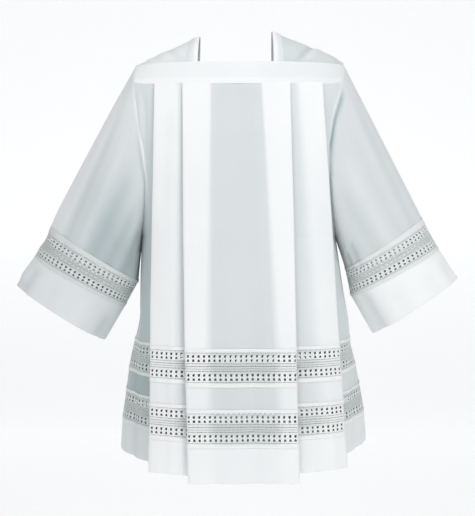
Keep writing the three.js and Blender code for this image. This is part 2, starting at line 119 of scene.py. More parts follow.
# %% [markdown]
# ## The hollow body
# The body is one rounded tube. At each height half of its section is a curve over an angle: 0 in
# the middle of the front or back, a quarter turn at the side. The armhole cuts the curve off
# earlier. Every piece of cloth below is cut from this one surface, at any fineness.

# %% Section of the body
TURNED = 1e-4  # a cosine below this is the section's outermost point
LEAST_COSINE = 0.03  # keeps the slope finite there


def armhole(side, face, angle):
    """Points of the armhole's edge; angle 0 is its top and pi the underarm."""
    top = ARMHOLE_TOP[side]
    z = (top + UNDERARM) / 2 + (top - UNDERARM) / 2 * np.cos(angle)
    y = face * ARMHOLE_DEPTH[face] * np.abs(np.sin(angle)) ** ARMHOLE_ROUND
    return np.stack([read(EDGES, SIDE_NAME[side], z), y, z], axis=-1)


def middle_line(z):
    return MIDDLE_AT_HEM * ramp(np.asarray(z), UNDERARM, HEM)


def section(side, face, z):
    """Middle, depth, angle of the edge and reach of the body's curve at heights z."""
    z = np.asarray(z, float)
    half = (ARMHOLE_TOP[side] - UNDERARM) / 2
    cosine = np.clip((z - (ARMHOLE_TOP[side] + UNDERARM) / 2) / half, -1, 1)
    sine = np.sqrt(1 - cosine ** 2)
    edge_depth = np.where(z > UNDERARM, ARMHOLE_DEPTH[face] * sine ** ARMHOLE_ROUND, 0)
    depth = read(DEPTHS, FACE_NAME[face], z) - SEAM / 2
    turn = np.arccos(np.clip(edge_depth / depth, 0, 1) ** (1 / ROUNDNESS))
    reach = (read(EDGES, SIDE_NAME[side], z) - middle_line(z)) / np.sin(turn)
    return middle_line(z), depth, turn, np.abs(reach)


def reach_of(face, z, on_left):
    """The reach of the body's curve at heights z, of its left half where on_left is true."""
    return np.where(on_left, section(LEFT, face, z)[3], section(RIGHT, face, z)[3])


def angle_of(face, x, z):
    """Signed angle of the body's curve where it passes x."""
    middle = middle_line(z)
    return np.arcsin(np.clip((x - middle) / reach_of(face, z, x < middle), -1, 1))


def body_points(face, angle, z, stand, lift):
    """Points of the body at signed angles, moved out by stand and up by lift."""
    middle, depth = section(LEFT, face, z)[:2]
    reach = reach_of(face, z, angle < 0)
    cosine = np.maximum(np.cos(angle), TURNED)
    x = middle + reach * np.sin(angle)
    y = SEAM / 2 + depth * np.where(np.cos(angle) > TURNED, cosine ** ROUNDNESS, 0)
    steep = np.maximum(cosine, LEAST_COSINE) ** (ROUNDNESS - 1)
    slope_y = depth * ROUNDNESS * steep * np.sin(angle)
    slope_x = reach * np.cos(angle)
    length = np.hypot(slope_x, slope_y)
    out_x, out_y = slope_y / length, slope_x / length
    raised = z + lift * np.clip((z - LIFT_START) / (HEM - LIFT_START), 0, 2)
    return np.stack([x + out_x * stand, face * (y + out_y * stand), raised + 0 * x], axis=-1)


print("half section at the waist:", [round(float(v), 2) for v in section(RIGHT, FRONT, -500)])

# %% [markdown]
# ## The pleats
# Each half of the front has two knife pleats that face outwards, so that a middle panel lies on
# top. A pleat is cloth folded back under itself and forward again: here a line with few points,
# each with its place across, its layer and how far the skirt is drawn up there. Cutting the line's
# corners twice (Chaikin's rule) rounds every fold like pressed cloth.

# %% The pleats' line
PLEAT_COLUMNS = ["z", "fold1", "under1", "fold2", "under2"]
PLEATS = {
    (FRONT, LEFT): table(PLEAT_COLUMNS, [
        (BAND_BOTTOM, 103, 53, 157, 48), (UPPER_LACE_TOP, 95, 36, 160, 47),
        (HEM, 88, 33, 162, 46)]),
    (FRONT, RIGHT): table(PLEAT_COLUMNS, [
        (BAND_BOTTOM, 104, 54, 167, 49), (UPPER_LACE_TOP, 113, 28, 194, 36),
        (HEM, 118, 22, 208, 33)]),
    (BACK, LEFT): table(PLEAT_COLUMNS, [
        (BAND_BOTTOM, 102, 52, 158, 48), (UPPER_LACE_TOP, 92, 40, 160, 46),
        (HEM, 84, 34, 162, 44)]),
    (BACK, RIGHT): table(PLEAT_COLUMNS, [
        (BAND_BOTTOM, 104, 53, 165, 48), (UPPER_LACE_TOP, 112, 34, 190, 40),
        (HEM, 120, 30, 203, 36)]),
}
LAYERS = table(["z", "gap"], [(BAND_BOTTOM, 2.3), (-170, 3.2), (UNDERARM, 5.0), (HEM, 8.5)])
CREASE_AT_HEM = {FRONT: 34.0, BACK: 6.0}
SIDE_LIFT = {LEFT: 50.0, RIGHT: 69.0}
SIDE_SHARES = (0.36, 0.7, 0.95, 1.0)  # the line's points from the last pleat to the side's edge
UNDER_BAND = 3.0  # how far the pleats' heads reach up behind the band
PANEL_POINT = 0.55  # the panel's point between its crease and its edge, as a share
PANEL_TURN = (3.0, 18.0)  # the panel starts to turn this far from its edge, more below
BETWEEN = (1.5, 2.0, 3.5)  # between the pleats the cloth's points lie this far out of their places

# For each point of the line: its layer, the share of the side's lift, how white the cloth looks
# there (0 a single layer, 1 three layers, -1 a single layer in the shade of the sleeve), and how
# many steps run to the next point. How deep that shade is differs from side to side.
PLEAT_LINE = table(["layer", "lift", "white", "steps"], [
    (0.45, 0, 0, 4), (1.05, 0, 0, 3), (1.2, 0, 0.06, 3), (1.75, 0, 0.95, 5), (2.2, 0, 1, 1),
    (1.8, 0.02, 1, 1), (1.3, 0.06, 1, 2), (1.3, 0.12, 1, 1), (0.8, 0.16, 1, 1), (0.3, 0.2, 1, 3),
    (0.5, 0.26, 0.1, 1), (1.2, 0.28, 0.1, 1), (1.95, 0.31, 0.9, 4), (2.0, 0.34, 1, 1),
    (1.5, 0.38, 1, 1), (1.0, 0.42, 1, 2), (1.0, 0.48, 1, 1), (0.5, 0.52, 1, 1), (0, 0.56, 1, 3),
    (0, 0.66, -0.9, 4), (0, 0.78, -1, 4), (0, 0.9, -0.6, 3), (0, 0.97, -0.3, 1), (0, 1, 0.65, 1),
])
SIDE_SHADE = {LEFT: 0.75, RIGHT: 0.15}


def half_line(side, face, z):
    """Angle, stand and lift of the pleats' line on one side: one row for each height."""
    rows = PLEATS[face, side]
    z = np.asarray(z, float)[:, None]
    fold1, fold2 = read(rows, "fold1", z), read(rows, "fold2", z)
    inner1, inner2 = fold1 - read(rows, "under1", z), fold2 - read(rows, "under2", z)
    gap = read(LAYERS, "gap", z)
    bend = gap / 2
    down = ramp(z, BAND_BOTTOM, HEM)
    crease = side * CREASE_AT_HEM[face] * down
    valley = (fold1 + inner2) / 2
    turn = PANEL_TURN[0] + PANEL_TURN[1] * down
    x = side * np.concatenate([
        crease, crease + (inner1 - crease) * PANEL_POINT, inner1 - turn, inner1,
        fold1 - bend, fold1, fold1 - bend, inner1 + bend, inner1, inner1 + bend,
        fold1 + BETWEEN[0], valley + BETWEEN[1], inner2 + BETWEEN[2],
        fold2 - bend, fold2, fold2 - bend, inner2 + bend, inner2, inner2 + bend, fold2 + 1,
    ], axis=1)
    angle = angle_of(face, x, z)
    start = angle[:, -1:]
    edge = side * section(side, face, z)[2]
    side_angles = [start + (edge - start) * share for share in SIDE_SHARES]
    angle = np.concatenate([angle, *side_angles], axis=1)
    stand = PLEAT_LINE["layer"] * gap
    lift = PLEAT_LINE["lift"] * SIDE_LIFT[side] + 0 * stand
    return angle, stand, lift


def smoothing(steps):
    """The matrix that divides a line into steps and then cuts its corners twice."""
    count = len(steps) + 1
    one = np.eye(count)
    line = np.array([
        one[i] * (1 - k / number) + one[i + 1] * (k / number)
        for i, number in enumerate(steps) for k in range(int(number))] + [one[-1]])
    for _ in range(2):
        cut = np.empty((2 * len(line) - 2, count))
        cut[0::2] = 0.75 * line[:-1] + 0.25 * line[1:]
        cut[1::2] = 0.25 * line[:-1] + 0.75 * line[1:]
        line = np.vstack([line[:1], cut, line[-1:]])
    return line


HALF_STEPS = PLEAT_LINE["steps"][:-1]
SMOOTH = smoothing(np.concatenate([HALF_STEPS[::-1], HALF_STEPS]))
half_white = [
    np.where(PLEAT_LINE["white"] < 0, SIDE_SHADE[side], 1) * PLEAT_LINE["white"]
    for side in (LEFT, RIGHT)]
WHITE = SMOOTH @ np.concatenate([half_white[0][::-1], half_white[1][1:]])
print("columns across one face:", len(SMOOTH))

# %% [markdown]
# ## Creases
# Pleated voile hangs almost straight, with a few long soft troughs where it gives way. Each is
# given one by one, with two ends, a depth and a half width, so that no two are alike (a negative
# depth is a ridge). Here the places are x and z; on other pieces they are measured along the piece.

# %% Creases of the skirt
CREASE_COLUMNS = ["across0", "along0", "across1", "along1", "depth", "half"]
BODY_CREASES = {
    FRONT: table(CREASE_COLUMNS, [
        (30, -470, 37, -880, 2.2, 17), (-34, -540, -46, -880, 1.2, 20),
        (-62, -260, -58, -700, 0.9, 14), (72, -200, 80, -640, 0.9, 16),
        (146, -600, 152, -880, 3.2, 6), (172, -660, 183, -880, -1.8, 9),
        (-132, -540, -128, -880, 1.4, 9), (-197, -470, -204, -860, 6.0, 9),
        (226, -560, 236, -860, 5.0, 10), (-178, -110, -176, -250, 2.4, 6),
        (-189, -110, -183, -200, -1.8, 5), (189, -108, 181, -230, 2.2, 6),
        (-132, -110, -136, -330, 1.2, 8), (136, -110, 142, -300, 1.3, 8),
        (8, -108, -4, -330, 0.8, 26),
    ]),
    BACK: table(CREASE_COLUMNS, [
        (8, -380, 12, -880, 2.4, 20), (-52, -520, -48, -880, 1.4, 16),
        (64, -470, 70, -880, 1.6, 18), (138, -580, 146, -880, 3.0, 8),
        (-126, -620, -124, -880, 2.4, 7), (-198, -480, -206, -860, 4.5, 10),
        (228, -520, 238, -860, 5.5, 9), (-176, -110, -172, -260, 2.0, 7),
        (186, -110, 180, -250, 2.3, 6), (-20, -110, -30, -420, 1.0, 24),
        (44, -120, 36, -380, 0.9, 15),
    ]),
}


# A crease deepens up to this share of its length, and fades from the next share to the last.
FADE_IN, FADE_OUT, FADE_END = 0.35, 1.0, 1.25


def creases(rows, across, along):
    """How far the cloth lies inside its plain surface, from a table of creases."""
    total = np.zeros(np.broadcast(across, along).shape)
    for a0, b0, a1, b1, depth, half in zip(*(rows[name] for name in CREASE_COLUMNS)):
        share = (along - b0) / (b1 - b0)
        off = (across - (a0 + (a1 - a0) * np.clip(share, 0, 1))) / half
        fade = ramp(share, 0, FADE_IN) * ramp(share, FADE_END, FADE_OUT)
        total += depth * np.exp(-off * off) * fade * fade * (3 - 2 * fade)
    return total


def waver(x, z, seed):
    """A faint uneven swell of the cloth, under a millimetre; its lengths share no factor."""
    a = np.sin(x / 37 + 0.9 * np.sin(z / 83 + seed)) * np.sin(z / 61 + seed * 1.7)
    b = np.sin(x / 19 + z / 140 + seed * 2.3) * np.sin(z / 33 - x / 90 + seed)
    return 0.45 * a + 0.25 * b


HELD_FLAT = 40.0  # below the band the creases begin over this height
NIP, NIP_HEIGHT, NIP_CURVE = 0.45, 14.0, 0.7  # the band presses the pleats' heads together
MEET, MEET_HEIGHT = 2.2, 45.0  # and they stand out to meet it


def pleated(face, heights):
    """A grid of points of the whole front or back: a row for each height."""
    heights = np.asarray(heights, float)
    halves = [half_line(side, face, heights) for side in (LEFT, RIGHT)]
    angle, stand, lift = (
        np.concatenate([a[:, ::-1], b[:, 1:]], axis=1) @ SMOOTH.T for a, b in zip(*halves))
    z = heights[:, None]
    plain = body_points(face, angle, z, 0, 0)
    inset = creases(BODY_CREASES[face], plain[..., 0], z) + waver(plain[..., 0], z, 1.3 + face)
    below = BAND_BOTTOM - z
    hold = ramp(below, 0, HELD_FLAT)
    nip = NIP + (1 - NIP) * ramp(below, -1, NIP_HEIGHT - 1) ** NIP_CURVE
    meet = MEET * ramp(below, MEET_HEIGHT, 0) ** 2
    return body_points(face, angle, z, stand * nip + meet - inset * hold, lift)


for name, rows in BODY_CREASES.items():
    print(FACE_NAME[name], "creases:", len(rows["depth"]))

# %% [markdown]
# ## From a grid to cloth
# A piece of cloth is a grid of quads with Blender's Solidify modifier for its thickness. Three
# facts are stored with it: a UV map in real lengths, so that the weave has the same size
# everywhere; a tone, which the material turns into whiteness and painted shade; and how much light
# reaches the inside there. All faces look outwards, so that Solidify can give the inside its own
# material, painted shade that is darker where less light reaches it.

# %% Cloth meshes
CLOTH_THICKNESS, DOUBLE_THICKNESS = 0.8, 1.2
SINGLE = 0.577  # tone of an open single layer; the shaded one is 0
DARK_BELOW, LIGHT_ABOVE = -580.0, -330.0  # heights between which the inside grows lighter


def unit(vectors):
    return vectors / np.maximum(np.linalg.norm(vectors, axis=-1, keepdims=True), 1e-9)


def mix(a, b, share):
    return a * (1 - share) + b * share


def normals_of(grid, closed=False):
    """Unit normals of a grid of points."""
    if closed:
        wide = np.concatenate([grid[:, -2:-1], grid, grid[:, 1:2]], axis=1)
        along = wide[:, 2:] - wide[:, :-2]
    else:
        along = np.gradient(grid, axis=1)
    return unit(np.cross(along, np.gradient(grid, axis=0)))


def lengths_along(line):
    """Length from the start of a line of points to each of them."""
    return np.concatenate([[0], np.cumsum(np.linalg.norm(np.diff(line, axis=0), axis=1))])


def lengths_of(grid):
    return lengths_along(grid[len(grid) // 2])


def face_outwards(points, faces, centre):
    """The faces, all turned over if most of them look towards the centre."""
    corners = points[np.array([face[:3] for face in faces])]
    normal = np.cross(corners[:, 1] - corners[:, 0], corners[:, 2] - corners[:, 1])
    away = corners.mean(axis=1) - centre
    return faces if (normal * away).sum() > 0 else [face[::-1] for face in faces]


def make_mesh(name, points, faces, uv=None, tone=None, centre=None):
    """A mesh object from points in millimetres."""
    points = np.asarray(points)
    if centre is not None:
        faces = face_outwards(points, faces, centre)
    mesh = bpy.data.meshes.new(name)
    mesh.from_pydata((points * MM).tolist(), [], faces)
    mesh.update()
    if uv is not None:
        layer = mesh.uv_layers.new(name="cloth")
        corners = np.empty(len(mesh.loops), dtype=np.int32)
        mesh.loops.foreach_get("vertex_index", corners)
        layer.data.foreach_set("uv", (np.asarray(uv)[corners] * MM).astype(np.float32).ravel())
    if tone is not None:
        # Painted shade inside: light comes in at the neck and is lost on the way down the skirt.
        light = ramp(points[:, 2], DARK_BELOW, LIGHT_ABOVE)
        for label, values in (("tone", tone), ("light", light)):
            attribute = mesh.attributes.new(label, "FLOAT", "POINT")
            attribute.data.foreach_set("value", np.asarray(values, np.float32).ravel())
    mesh.shade_smooth()
    obj = bpy.data.objects.new(name, mesh)
    bpy.context.scene.collection.objects.link(obj)
    return obj


def thicken(obj, thickness):
    """Cloth thickness on both sides of the mesh; the inner side takes the second material."""
    solid = obj.modifiers.new("thickness", "SOLIDIFY")
    solid.thickness = thickness * MM
    solid.offset = 0
    solid.material_offset = 1
    flat = obj.modifiers.new("flat rims", "WEIGHTED_NORMAL")
    flat.keep_sharp = True
    return obj


def grid_faces(rows, columns, closed=False):
    """Quads of a grid; the last column of a closed one is its first."""
    width = columns - closed
    faces = []
    for j in range(rows - 1):
        for i in range(columns - 1):
            k = (i + 1) % width
            faces.append((j * width + i, j * width + k, (j + 1) * width + k, (j + 1) * width + i))
    return faces


def hollow_centre(grid):
    """A point inside the hollow that a piece of cloth goes round."""
    return grid.mean(axis=(0, 1)) * (1, 0, 1)


pieces, grids = {}, {}


def cloth(node, grid, white, thickness=CLOTH_THICKNESS, closed=False, centre=None):
    """The cloth of a node from a grid; white runs from -1, shaded, to 1, layered."""
    rows, columns = grid.shape[:2]
    u = np.broadcast_to(lengths_of(grid), (rows, columns))
    v = np.broadcast_to(grid[:, columns // 2, 2:3], (rows, columns))
    keep = slice(0, columns - closed)
    points = grid[:, keep].reshape(-1, 3)
    uv = np.stack([u[:, keep], v[:, keep]], axis=-1).reshape(-1, 2)
    white = np.broadcast_to(white, (rows, columns))[:, keep].reshape(-1)
    tone = SINGLE + np.where(white < 0, SINGLE, 1 - SINGLE) * white
    centre = hollow_centre(grid) if centre is None else centre
    faces = grid_faces(rows, columns, closed)
    obj = make_mesh(f"{node}_cloth", points, faces, uv, tone, centre)
    grids[node], pieces[node] = grid, thicken(obj, thickness)


print("cloth thickness", CLOTH_THICKNESS, "mm")

# %% [markdown]
# ## Front and back panels, strips and hems
# The long panels hang from the band to the upper lace. Below come a plain strip and the deep hem,
# turned up double and so whiter and stiffer. Rows are closer together where the armhole turns into
# the side seam.

# %% Panels
LEVEL_GAP = 0.4  # between two pieces that the lace joins
PANEL_ROWS, STRIP_ROWS, HEM_ROWS = 25, 7, 10
ARMHOLE_ANGLES = np.radians(np.arange(62, 181, 4))
panel_heights = np.unique(np.concatenate([
    BAND_BOTTOM + UNDER_BAND - np.array([0, 3, 5, 8, 12, 17, 24]),
    np.linspace(BAND_BOTTOM - 30, UPPER_LACE_TOP + LEVEL_GAP, PANEL_ROWS),
    armhole(LEFT, FRONT, ARMHOLE_ANGLES)[:, 2],
    np.linspace(UNDERARM + 3, UNDERARM, 4),
]))[::-1]
strip_heights = np.linspace(STRIP_TOP - LEVEL_GAP, LOWER_LACE_TOP + LEVEL_GAP, STRIP_ROWS)
hem_heights = np.linspace(HEM_TOP - LEVEL_GAP, HEM, HEM_ROWS)
STRIP_WHITE, HEM_WHITE = 0.8, 0.85
# How strongly the shaded sides of the strip and the hem show; below 0 they look light.
STRIP_SIDES = {LEFT: 1.55, RIGHT: -1.0}
HEM_SIDES = {LEFT: 1.15, RIGHT: 2.5}
SHADE_START, SHADE_FULL = -210.0, -380.0  # the sleeves' shade grows between these heights


def side_shade(heights):
    """The sleeves shade the sides only from the chest down: 0 to 1 where WHITE is below 0."""
    return np.where(WHITE < 0, ramp(heights, SHADE_START, SHADE_FULL)[:, None], 1)


def at_sides(factors, layered):
    """A factor for WHITE in each column: one for each shaded side and one for the layered cloth."""
    on_left = np.arange(len(WHITE)) < len(WHITE) / 2
    factor = np.where(on_left, factors[LEFT], factors[RIGHT])
    return np.where(WHITE < 0, factor, layered)


for face in (FRONT, BACK):
    for part, heights, thickness, white in (
        ("panel", panel_heights, CLOTH_THICKNESS, side_shade(panel_heights) * WHITE),
        ("strip", strip_heights, CLOTH_THICKNESS, at_sides(STRIP_SIDES, STRIP_WHITE) * WHITE),
        ("hem", hem_heights, DOUBLE_THICKNESS,
         HEM_WHITE + at_sides(HEM_SIDES, 1 - HEM_WHITE) * WHITE),
    ):
        node = f"{FACE_NAME[face]}_{part}"
        cloth(node, pleated(face, heights), white, thickness)
        print(node, grids[node].shape)

# %% [markdown]
# ## Insertion lace
# The lace is woven as a ladder: rows of square holes stand in pairs with a knot between them, fine
# mesh runs along the middle, and a firm tape on each edge is sewn to the cloth. One repeat is
# charted as a list of rows, and the chart is laid along the cloth's own length, round every pleat.
# The holes are real openings.

# %% Chart of the lace
REPEAT = {FRONT: 10.2, BACK: 11.2}  # the back's lace is stretched a little more
COLUMNS_A_REPEAT = 4
# What each row of the chart holds, and its height: tape, plain cloth, mesh, or one of the pair of
# rows of large holes.
LACE_CHART = [
    ("tape", 6.4), ("mesh", 2.4), ("plain", 2.4), ("upper", 6.2), ("lower", 7.8), ("plain", 1.6),
    ("mesh", 2.6), ("plain", 2.2), ("mesh", 3.2), ("plain", 2.0), ("mesh", 2.4), ("plain", 1.6),
    ("mesh", 3.0), ("plain", 3.1), ("upper", 6.2), ("lower", 7.8), ("plain", 1.6), ("mesh", 1.8),
    ("plain", 1.9), ("tape", 7.0),
]
BAR_ROWS = ("upper", "lower")
CHART_HEIGHT = sum(height for _, height in LACE_CHART)
# Corners of a hole as shares of its cell: a comma above the knot, a small house below it.
HOLES = {
    "upper": [(0.1, 0.2), (0.5, 0.1), (0.98, 0.02), (0.88, 0.45), (0.86, 0.82), (0.5, 0.9),
              (0.14, 0.84), (0.04, 0.5)],
    "lower": [(0.16, 0.36), (0.5, 0.3), (0.84, 0.36), (0.92, 0.64), (0.98, 0.95), (0.5, 0.86),
              (0.02, 0.95), (0.08, 0.64)],
    "mesh": [(0.24, 0.24), (0.76, 0.24), (0.76, 0.76), (0.24, 0.76)],
}
HOLE_WOBBLE = 0.02  # how far a corner strays from its place


def lace_tile(repeats, height, seed):
    """Points (along, down) and faces of a lace strip; along counts repeats, down is in mm."""
    random = np.random.default_rng(seed)
    scale = height / CHART_HEIGHT
    points, faces, ids = [], [], {}

    def corner(column, down):
        key = (round(column * 8), round(down * 50))  # corners in one place are one point
        if key not in ids:
            ids[key] = len(points)
            points.append((column / COLUMNS_A_REPEAT, down))
        return ids[key]

    def corners(column, *steps):
        return tuple(corner(column + step, down) for step, down in steps)

    def quad(i, top, bottom):
        return corners(i, (0, top), (1, top), (1, bottom), (0, bottom))

    def hole(left, right, top, bottom, shape, border):
        ring = []
        for share_x, share_y in shape:
            wobble = random.normal(0, HOLE_WOBBLE, 2)
            ring.append(len(points))
            points.append((
                (left + (right - left) * (share_x + wobble[0])) / COLUMNS_A_REPEAT,
                top + (bottom - top) * (share_y + wobble[1]),
            ))
        for k in range(len(border)):
            j = (k + 1) % len(border)
            faces.append((border[k], border[j], ring[j], ring[k]))

    down = 0.0
    for kind, row_height in LACE_CHART:
        top, bottom = down, down + row_height * scale
        middle = (top + bottom) / 2
        for i in range(repeats * COLUMNS_A_REPEAT):
            whole = quad(i, top, bottom)
            place = i % COLUMNS_A_REPEAT
            if kind in BAR_ROWS and place == 0:
                hole(i, i + 2, top, bottom, HOLES[kind], corners(
                    i, (0, top), (1, top), (2, top), (2, middle),
                    (2, bottom), (1, bottom), (0, bottom), (0, middle)))
            elif kind == "mesh":
                hole(i, i + 1, top, bottom, HOLES[kind], whole)
            elif kind == "tape" or kind in BAR_ROWS and place > 1:
                faces.extend([quad(i, top, middle), quad(i, middle, bottom)])
            elif kind == "plain":
                faces.append(whole)
        down = bottom
    return np.array(points), faces


def sample(grid, normals, lengths, along, share, stand):
    """Points of a grid at a length along it and a share of its height, moved out by stand."""
    column = np.interp(along, lengths, np.arange(len(lengths)))
    row = np.clip(share, 0, 1) * (len(grid) - 1)
    i = np.minimum(column.astype(int), grid.shape[1] - 2)
    j = np.minimum(row.astype(int), grid.shape[0] - 2)
    fi, fj = (column - i)[:, None], (row - j)[:, None]
    point, out = (
        mix(mix(field[j, i], field[j, i + 1], fi),
            mix(field[j + 1, i], field[j + 1, i + 1], fi), fj)
        for field in (grid, normals))
    return point + out * np.asarray(stand).reshape(-1, 1)


print("lace chart:", len(LACE_CHART), "rows,", round(CHART_HEIGHT, 1), "mm")

# %% [markdown]
# ## Laying the lace on the cloth
# The tape along each edge lies on the cloth, a little higher than the ladder. A knot has four
# thread loops, each a small pointed bead, and all of a strip's knots are one mesh.

# %% Lace pieces
LACE_THICKNESS = 0.7
TAPE_STAND = 0.95  # a tape lies on the cloth's edge
TAPE_LAP = (0.8, 2.4)  # and reaches over it above and below
TAPE_EDGE = (1.0, -0.5)  # it rises to its height between these places off its edge
# Tone of the lace: of its ground, and what is added for layers, a tape and the bars.
LACE_TONE, LAYER_TONE, TAPE_TONE, BAR_TONE = 0.26, 0.6, {"skirt": 0.7, "sleeve": 0.4}, 0.35
LACE_ROWS, SLEEVE_LACE_ROWS = 26, 22
LACE_SEED = {"lace_upper": 14, "lace_lower": 11, "sleeve": 31}
KNOT_LOOP = (2.3, 0.85, 0.55)  # length, half width and half thickness of one loop
KNOT_PLACE = 0.75  # of a repeat: the middle of a bar
KNOT_DROP = 0.8  # below the level where a pair of rows meets
KNOT_STAND = 0.4
KNOT_STEP = 0.6  # a point this far off gives a knot its directions
BEAD = [(0, 0, 0), (0.5, 1, 0), (0.5, 0, 1), (0.5, -1, 0), (0.5, 0, -1), (1, 0, 0)]
BEAD_FACES = [
    (0, 2, 1), (0, 3, 2), (0, 4, 3), (0, 1, 4), (5, 1, 2), (5, 2, 3), (5, 3, 4), (5, 4, 1)]


def chart_rows(kinds, scale):
    """Top and bottom of the chart's rows of some kinds, down a strip."""
    down = np.cumsum([0.0] + [height for _, height in LACE_CHART])
    return [
        (down[i] * scale, down[i + 1] * scale)
        for i, (kind, _) in enumerate(LACE_CHART) if kind in kinds]


def beads(name, places, along, out, size):
    """Many small pointed beads in one mesh. Each starts at a place and points along."""
    local = np.array(BEAD, float) * size
    across = np.cross(out, along)
    points = (
        places[:, None]
        + along[:, None] * local[None, :, 0:1]
        + across[:, None] * local[None, :, 1:2]
        + out[:, None] * local[None, :, 2:3]
    ).reshape(-1, 3)
    faces = [
        tuple(len(BEAD) * k + i for i in face) for k in range(len(places)) for face in BEAD_FACES]
    return make_mesh(name, points, faces, np.zeros((len(points), 2)), np.ones(len(points)))


def outward_normals(grid, closed=False):
    normals = normals_of(grid, closed)
    return normals if (normals * (grid - hollow_centre(grid))).sum() > 0 else -normals


def lace_knots(name, grid, normals, lengths, height, repeats):
    """The knots of a strip: one on each bar, between an upper and a lower row of holes."""
    scale = height / CHART_HEIGHT
    levels = [(top + KNOT_DROP * scale) / height for top, _ in chart_rows(("lower",), scale)]
    u = np.tile((np.arange(repeats) + KNOT_PLACE) / repeats * lengths[-1], len(levels))
    v = np.repeat(levels, repeats)
    centre, right, low = (
        sample(grid, normals, lengths, u + du, v + dv, KNOT_STAND)
        for du, dv in ((0, 0), (KNOT_STEP, 0), (0, KNOT_STEP / height)))
    right, low = unit(right - centre), unit(low - centre)
    loops = [
        right * math.cos(math.radians(turn)) + low * math.sin(math.radians(turn))
        for turn in (45, 135, 225, 315)]
    places, out = (np.tile(a, (len(loops), 1)) for a in (centre, unit(np.cross(right, low))))
    return beads(f"{name}_knots", places, np.concatenate(loops), out, KNOT_LOOP)


extras = {}


def lace(node, grid, height, seed, white, tape_tone, repeat):
    """The lace strip of a node and its knots, laid on a grid of points."""
    name = f"{node}_strip"
    normals, lengths = outward_normals(grid), lengths_of(grid)
    repeats = round(lengths[-1] / repeat)
    tile, faces = lace_tile(repeats, height, seed)
    along, down = tile[:, 0] / repeats * lengths[-1], tile[:, 1]
    scale = height / CHART_HEIGHT
    (_, upper_tape), (lower_tape, _) = chart_rows(("tape",), scale)
    tape = np.maximum(
        ramp(down - upper_tape, *TAPE_EDGE), ramp(lower_tape - down, *TAPE_EDGE))
    points = sample(grid, normals, lengths, along, down / height, TAPE_STAND * tape)
    # Below 0 the layers are painted shade, from the cloth's shaded sides and sleeves.
    layers = np.interp(along, lengths, np.broadcast_to(white, len(lengths)))
    bars = sum(
        (down >= top) & (down <= bottom) for top, bottom in chart_rows(BAR_ROWS, scale)) > 0
    tone = np.clip(LACE_TONE + LAYER_TONE * layers + tape_tone * tape + BAR_TONE * bars, 0, 1)
    uv = np.stack([along, -down], axis=1)
    strip = make_mesh(name, points, faces, uv, tone, hollow_centre(grid))
    grids[node], pieces[node] = grid, thicken(strip, LACE_THICKNESS)
    extras[node] = lace_knots(name, grid, normals, lengths, height, repeats)
    print(name, repeats, "repeats,", len(faces), "faces")


for face in (FRONT, BACK):
    for part, top in (("lace_upper", UPPER_LACE_TOP), ("lace_lower", LOWER_LACE_TOP)):
        node = f"{FACE_NAME[face]}_{part}"
        heights = np.linspace(top + TAPE_LAP[0], top - LACE_HEIGHT - TAPE_LAP[1], LACE_ROWS)
        lace(node, pleated(face, heights), LACE_HEIGHT + sum(TAPE_LAP),
             LACE_SEED[part] + 7 * face, WHITE, TAPE_TONE["skirt"], REPEAT[face])

# %% [markdown]
# ## Yoke bands and shoulders
# The pleats are sewn into a straight band in front and one behind. The bands are double cloth with
# the pleat heads between, so they are the whitest and stiffest part.

# %% Bands
NECK_HALF = {LEFT: 75.0, RIGHT: 74.0}
BAND_COLUMNS = 61  # on each side of the middle
BAND_SHADE, SHADE_SPAN = 0.5, (36.0, 216.0)  # it looks greyer between these places
PUCKER, SLACK = 0.25, 0.5  # small swells along the pleats' stitches, and long ones


def neck_share(side, face):
    """How far from the middle of a band to its end the neck's edge lies."""
    angle = angle_of(face, np.array(side * NECK_HALF[side]), np.array(BAND_TOP))
    return float(abs(angle) / section(side, face, BAND_TOP)[2])


def band_points(side, face, share, z, drop):
    """Points of a band; share is 0 in its middle and 1 at its end, drop 0 at its foot."""
    share = np.asarray(share, float)
    height = z - drop * BAND_DROP[side] * share * share
    stand = BAND_STAND + (BAND_END_STAND - BAND_STAND) * share ** 4
    angle = side * section(side, face, height)[2] * share
    return body_points(face, angle, height, stand, 0)


# From the band's top (0) to its foot (1): how far it stands out, and its whiteness. The turned
# edges are thicker and whiter than the plain stretch between them.
BAND_PROFILE = table(["down", "stand", "white"], [
    (0, -0.3, 1), (0.03, 0.35, 1), (0.09, 0.35, 1), (0.13, -0.1, 0.85), (0.4, 0, 0.82),
    (0.66, -0.1, 0.85), (0.71, 0.5, 1), (0.9, 0.5, 1), (1, -0.3, 1),
])
band_downs = np.sort(np.concatenate([
    np.linspace(0, 1, 17), [0.03, 0.09, 0.11, 0.68, 0.7, 0.72, 0.97]]))


def band_grid(face):
    shares = np.linspace(0, 1, BAND_COLUMNS)
    rows = []
    for down in band_downs:
        z = BAND_TOP + (BAND_BOTTOM - 0.5 - BAND_TOP) * down
        left = band_points(LEFT, face, shares, z, 1 - down)[::-1]
        right = band_points(RIGHT, face, shares, z, 1 - down)
        row = np.concatenate([left, right[1:]])
        stand = np.interp(down, BAND_PROFILE["down"], BAND_PROFILE["stand"])
        pucker = PUCKER * np.sin(row[:, 0] / 5.3 + 2 * np.sin(row[:, 0] / 31)) * down ** 3
        slack = SLACK * np.sin(row[:, 0] / 47 + 3 * down) * math.sin(math.pi * down)
        row[:, 1] += face * (stand + pucker + slack)
        rows.append(row)
    return np.array(rows)


band_white = np.interp(band_downs, BAND_PROFILE["down"], BAND_PROFILE["white"])[:, None]
for face in (FRONT, BACK):
    node = f"yoke_{FACE_NAME[face]}_band"
    grid = band_grid(face)
    cloth(node, grid, band_white - BAND_SHADE * ramp(grid[..., 0], *SHADE_SPAN), DOUBLE_THICKNESS)
    print(node, grid.shape)
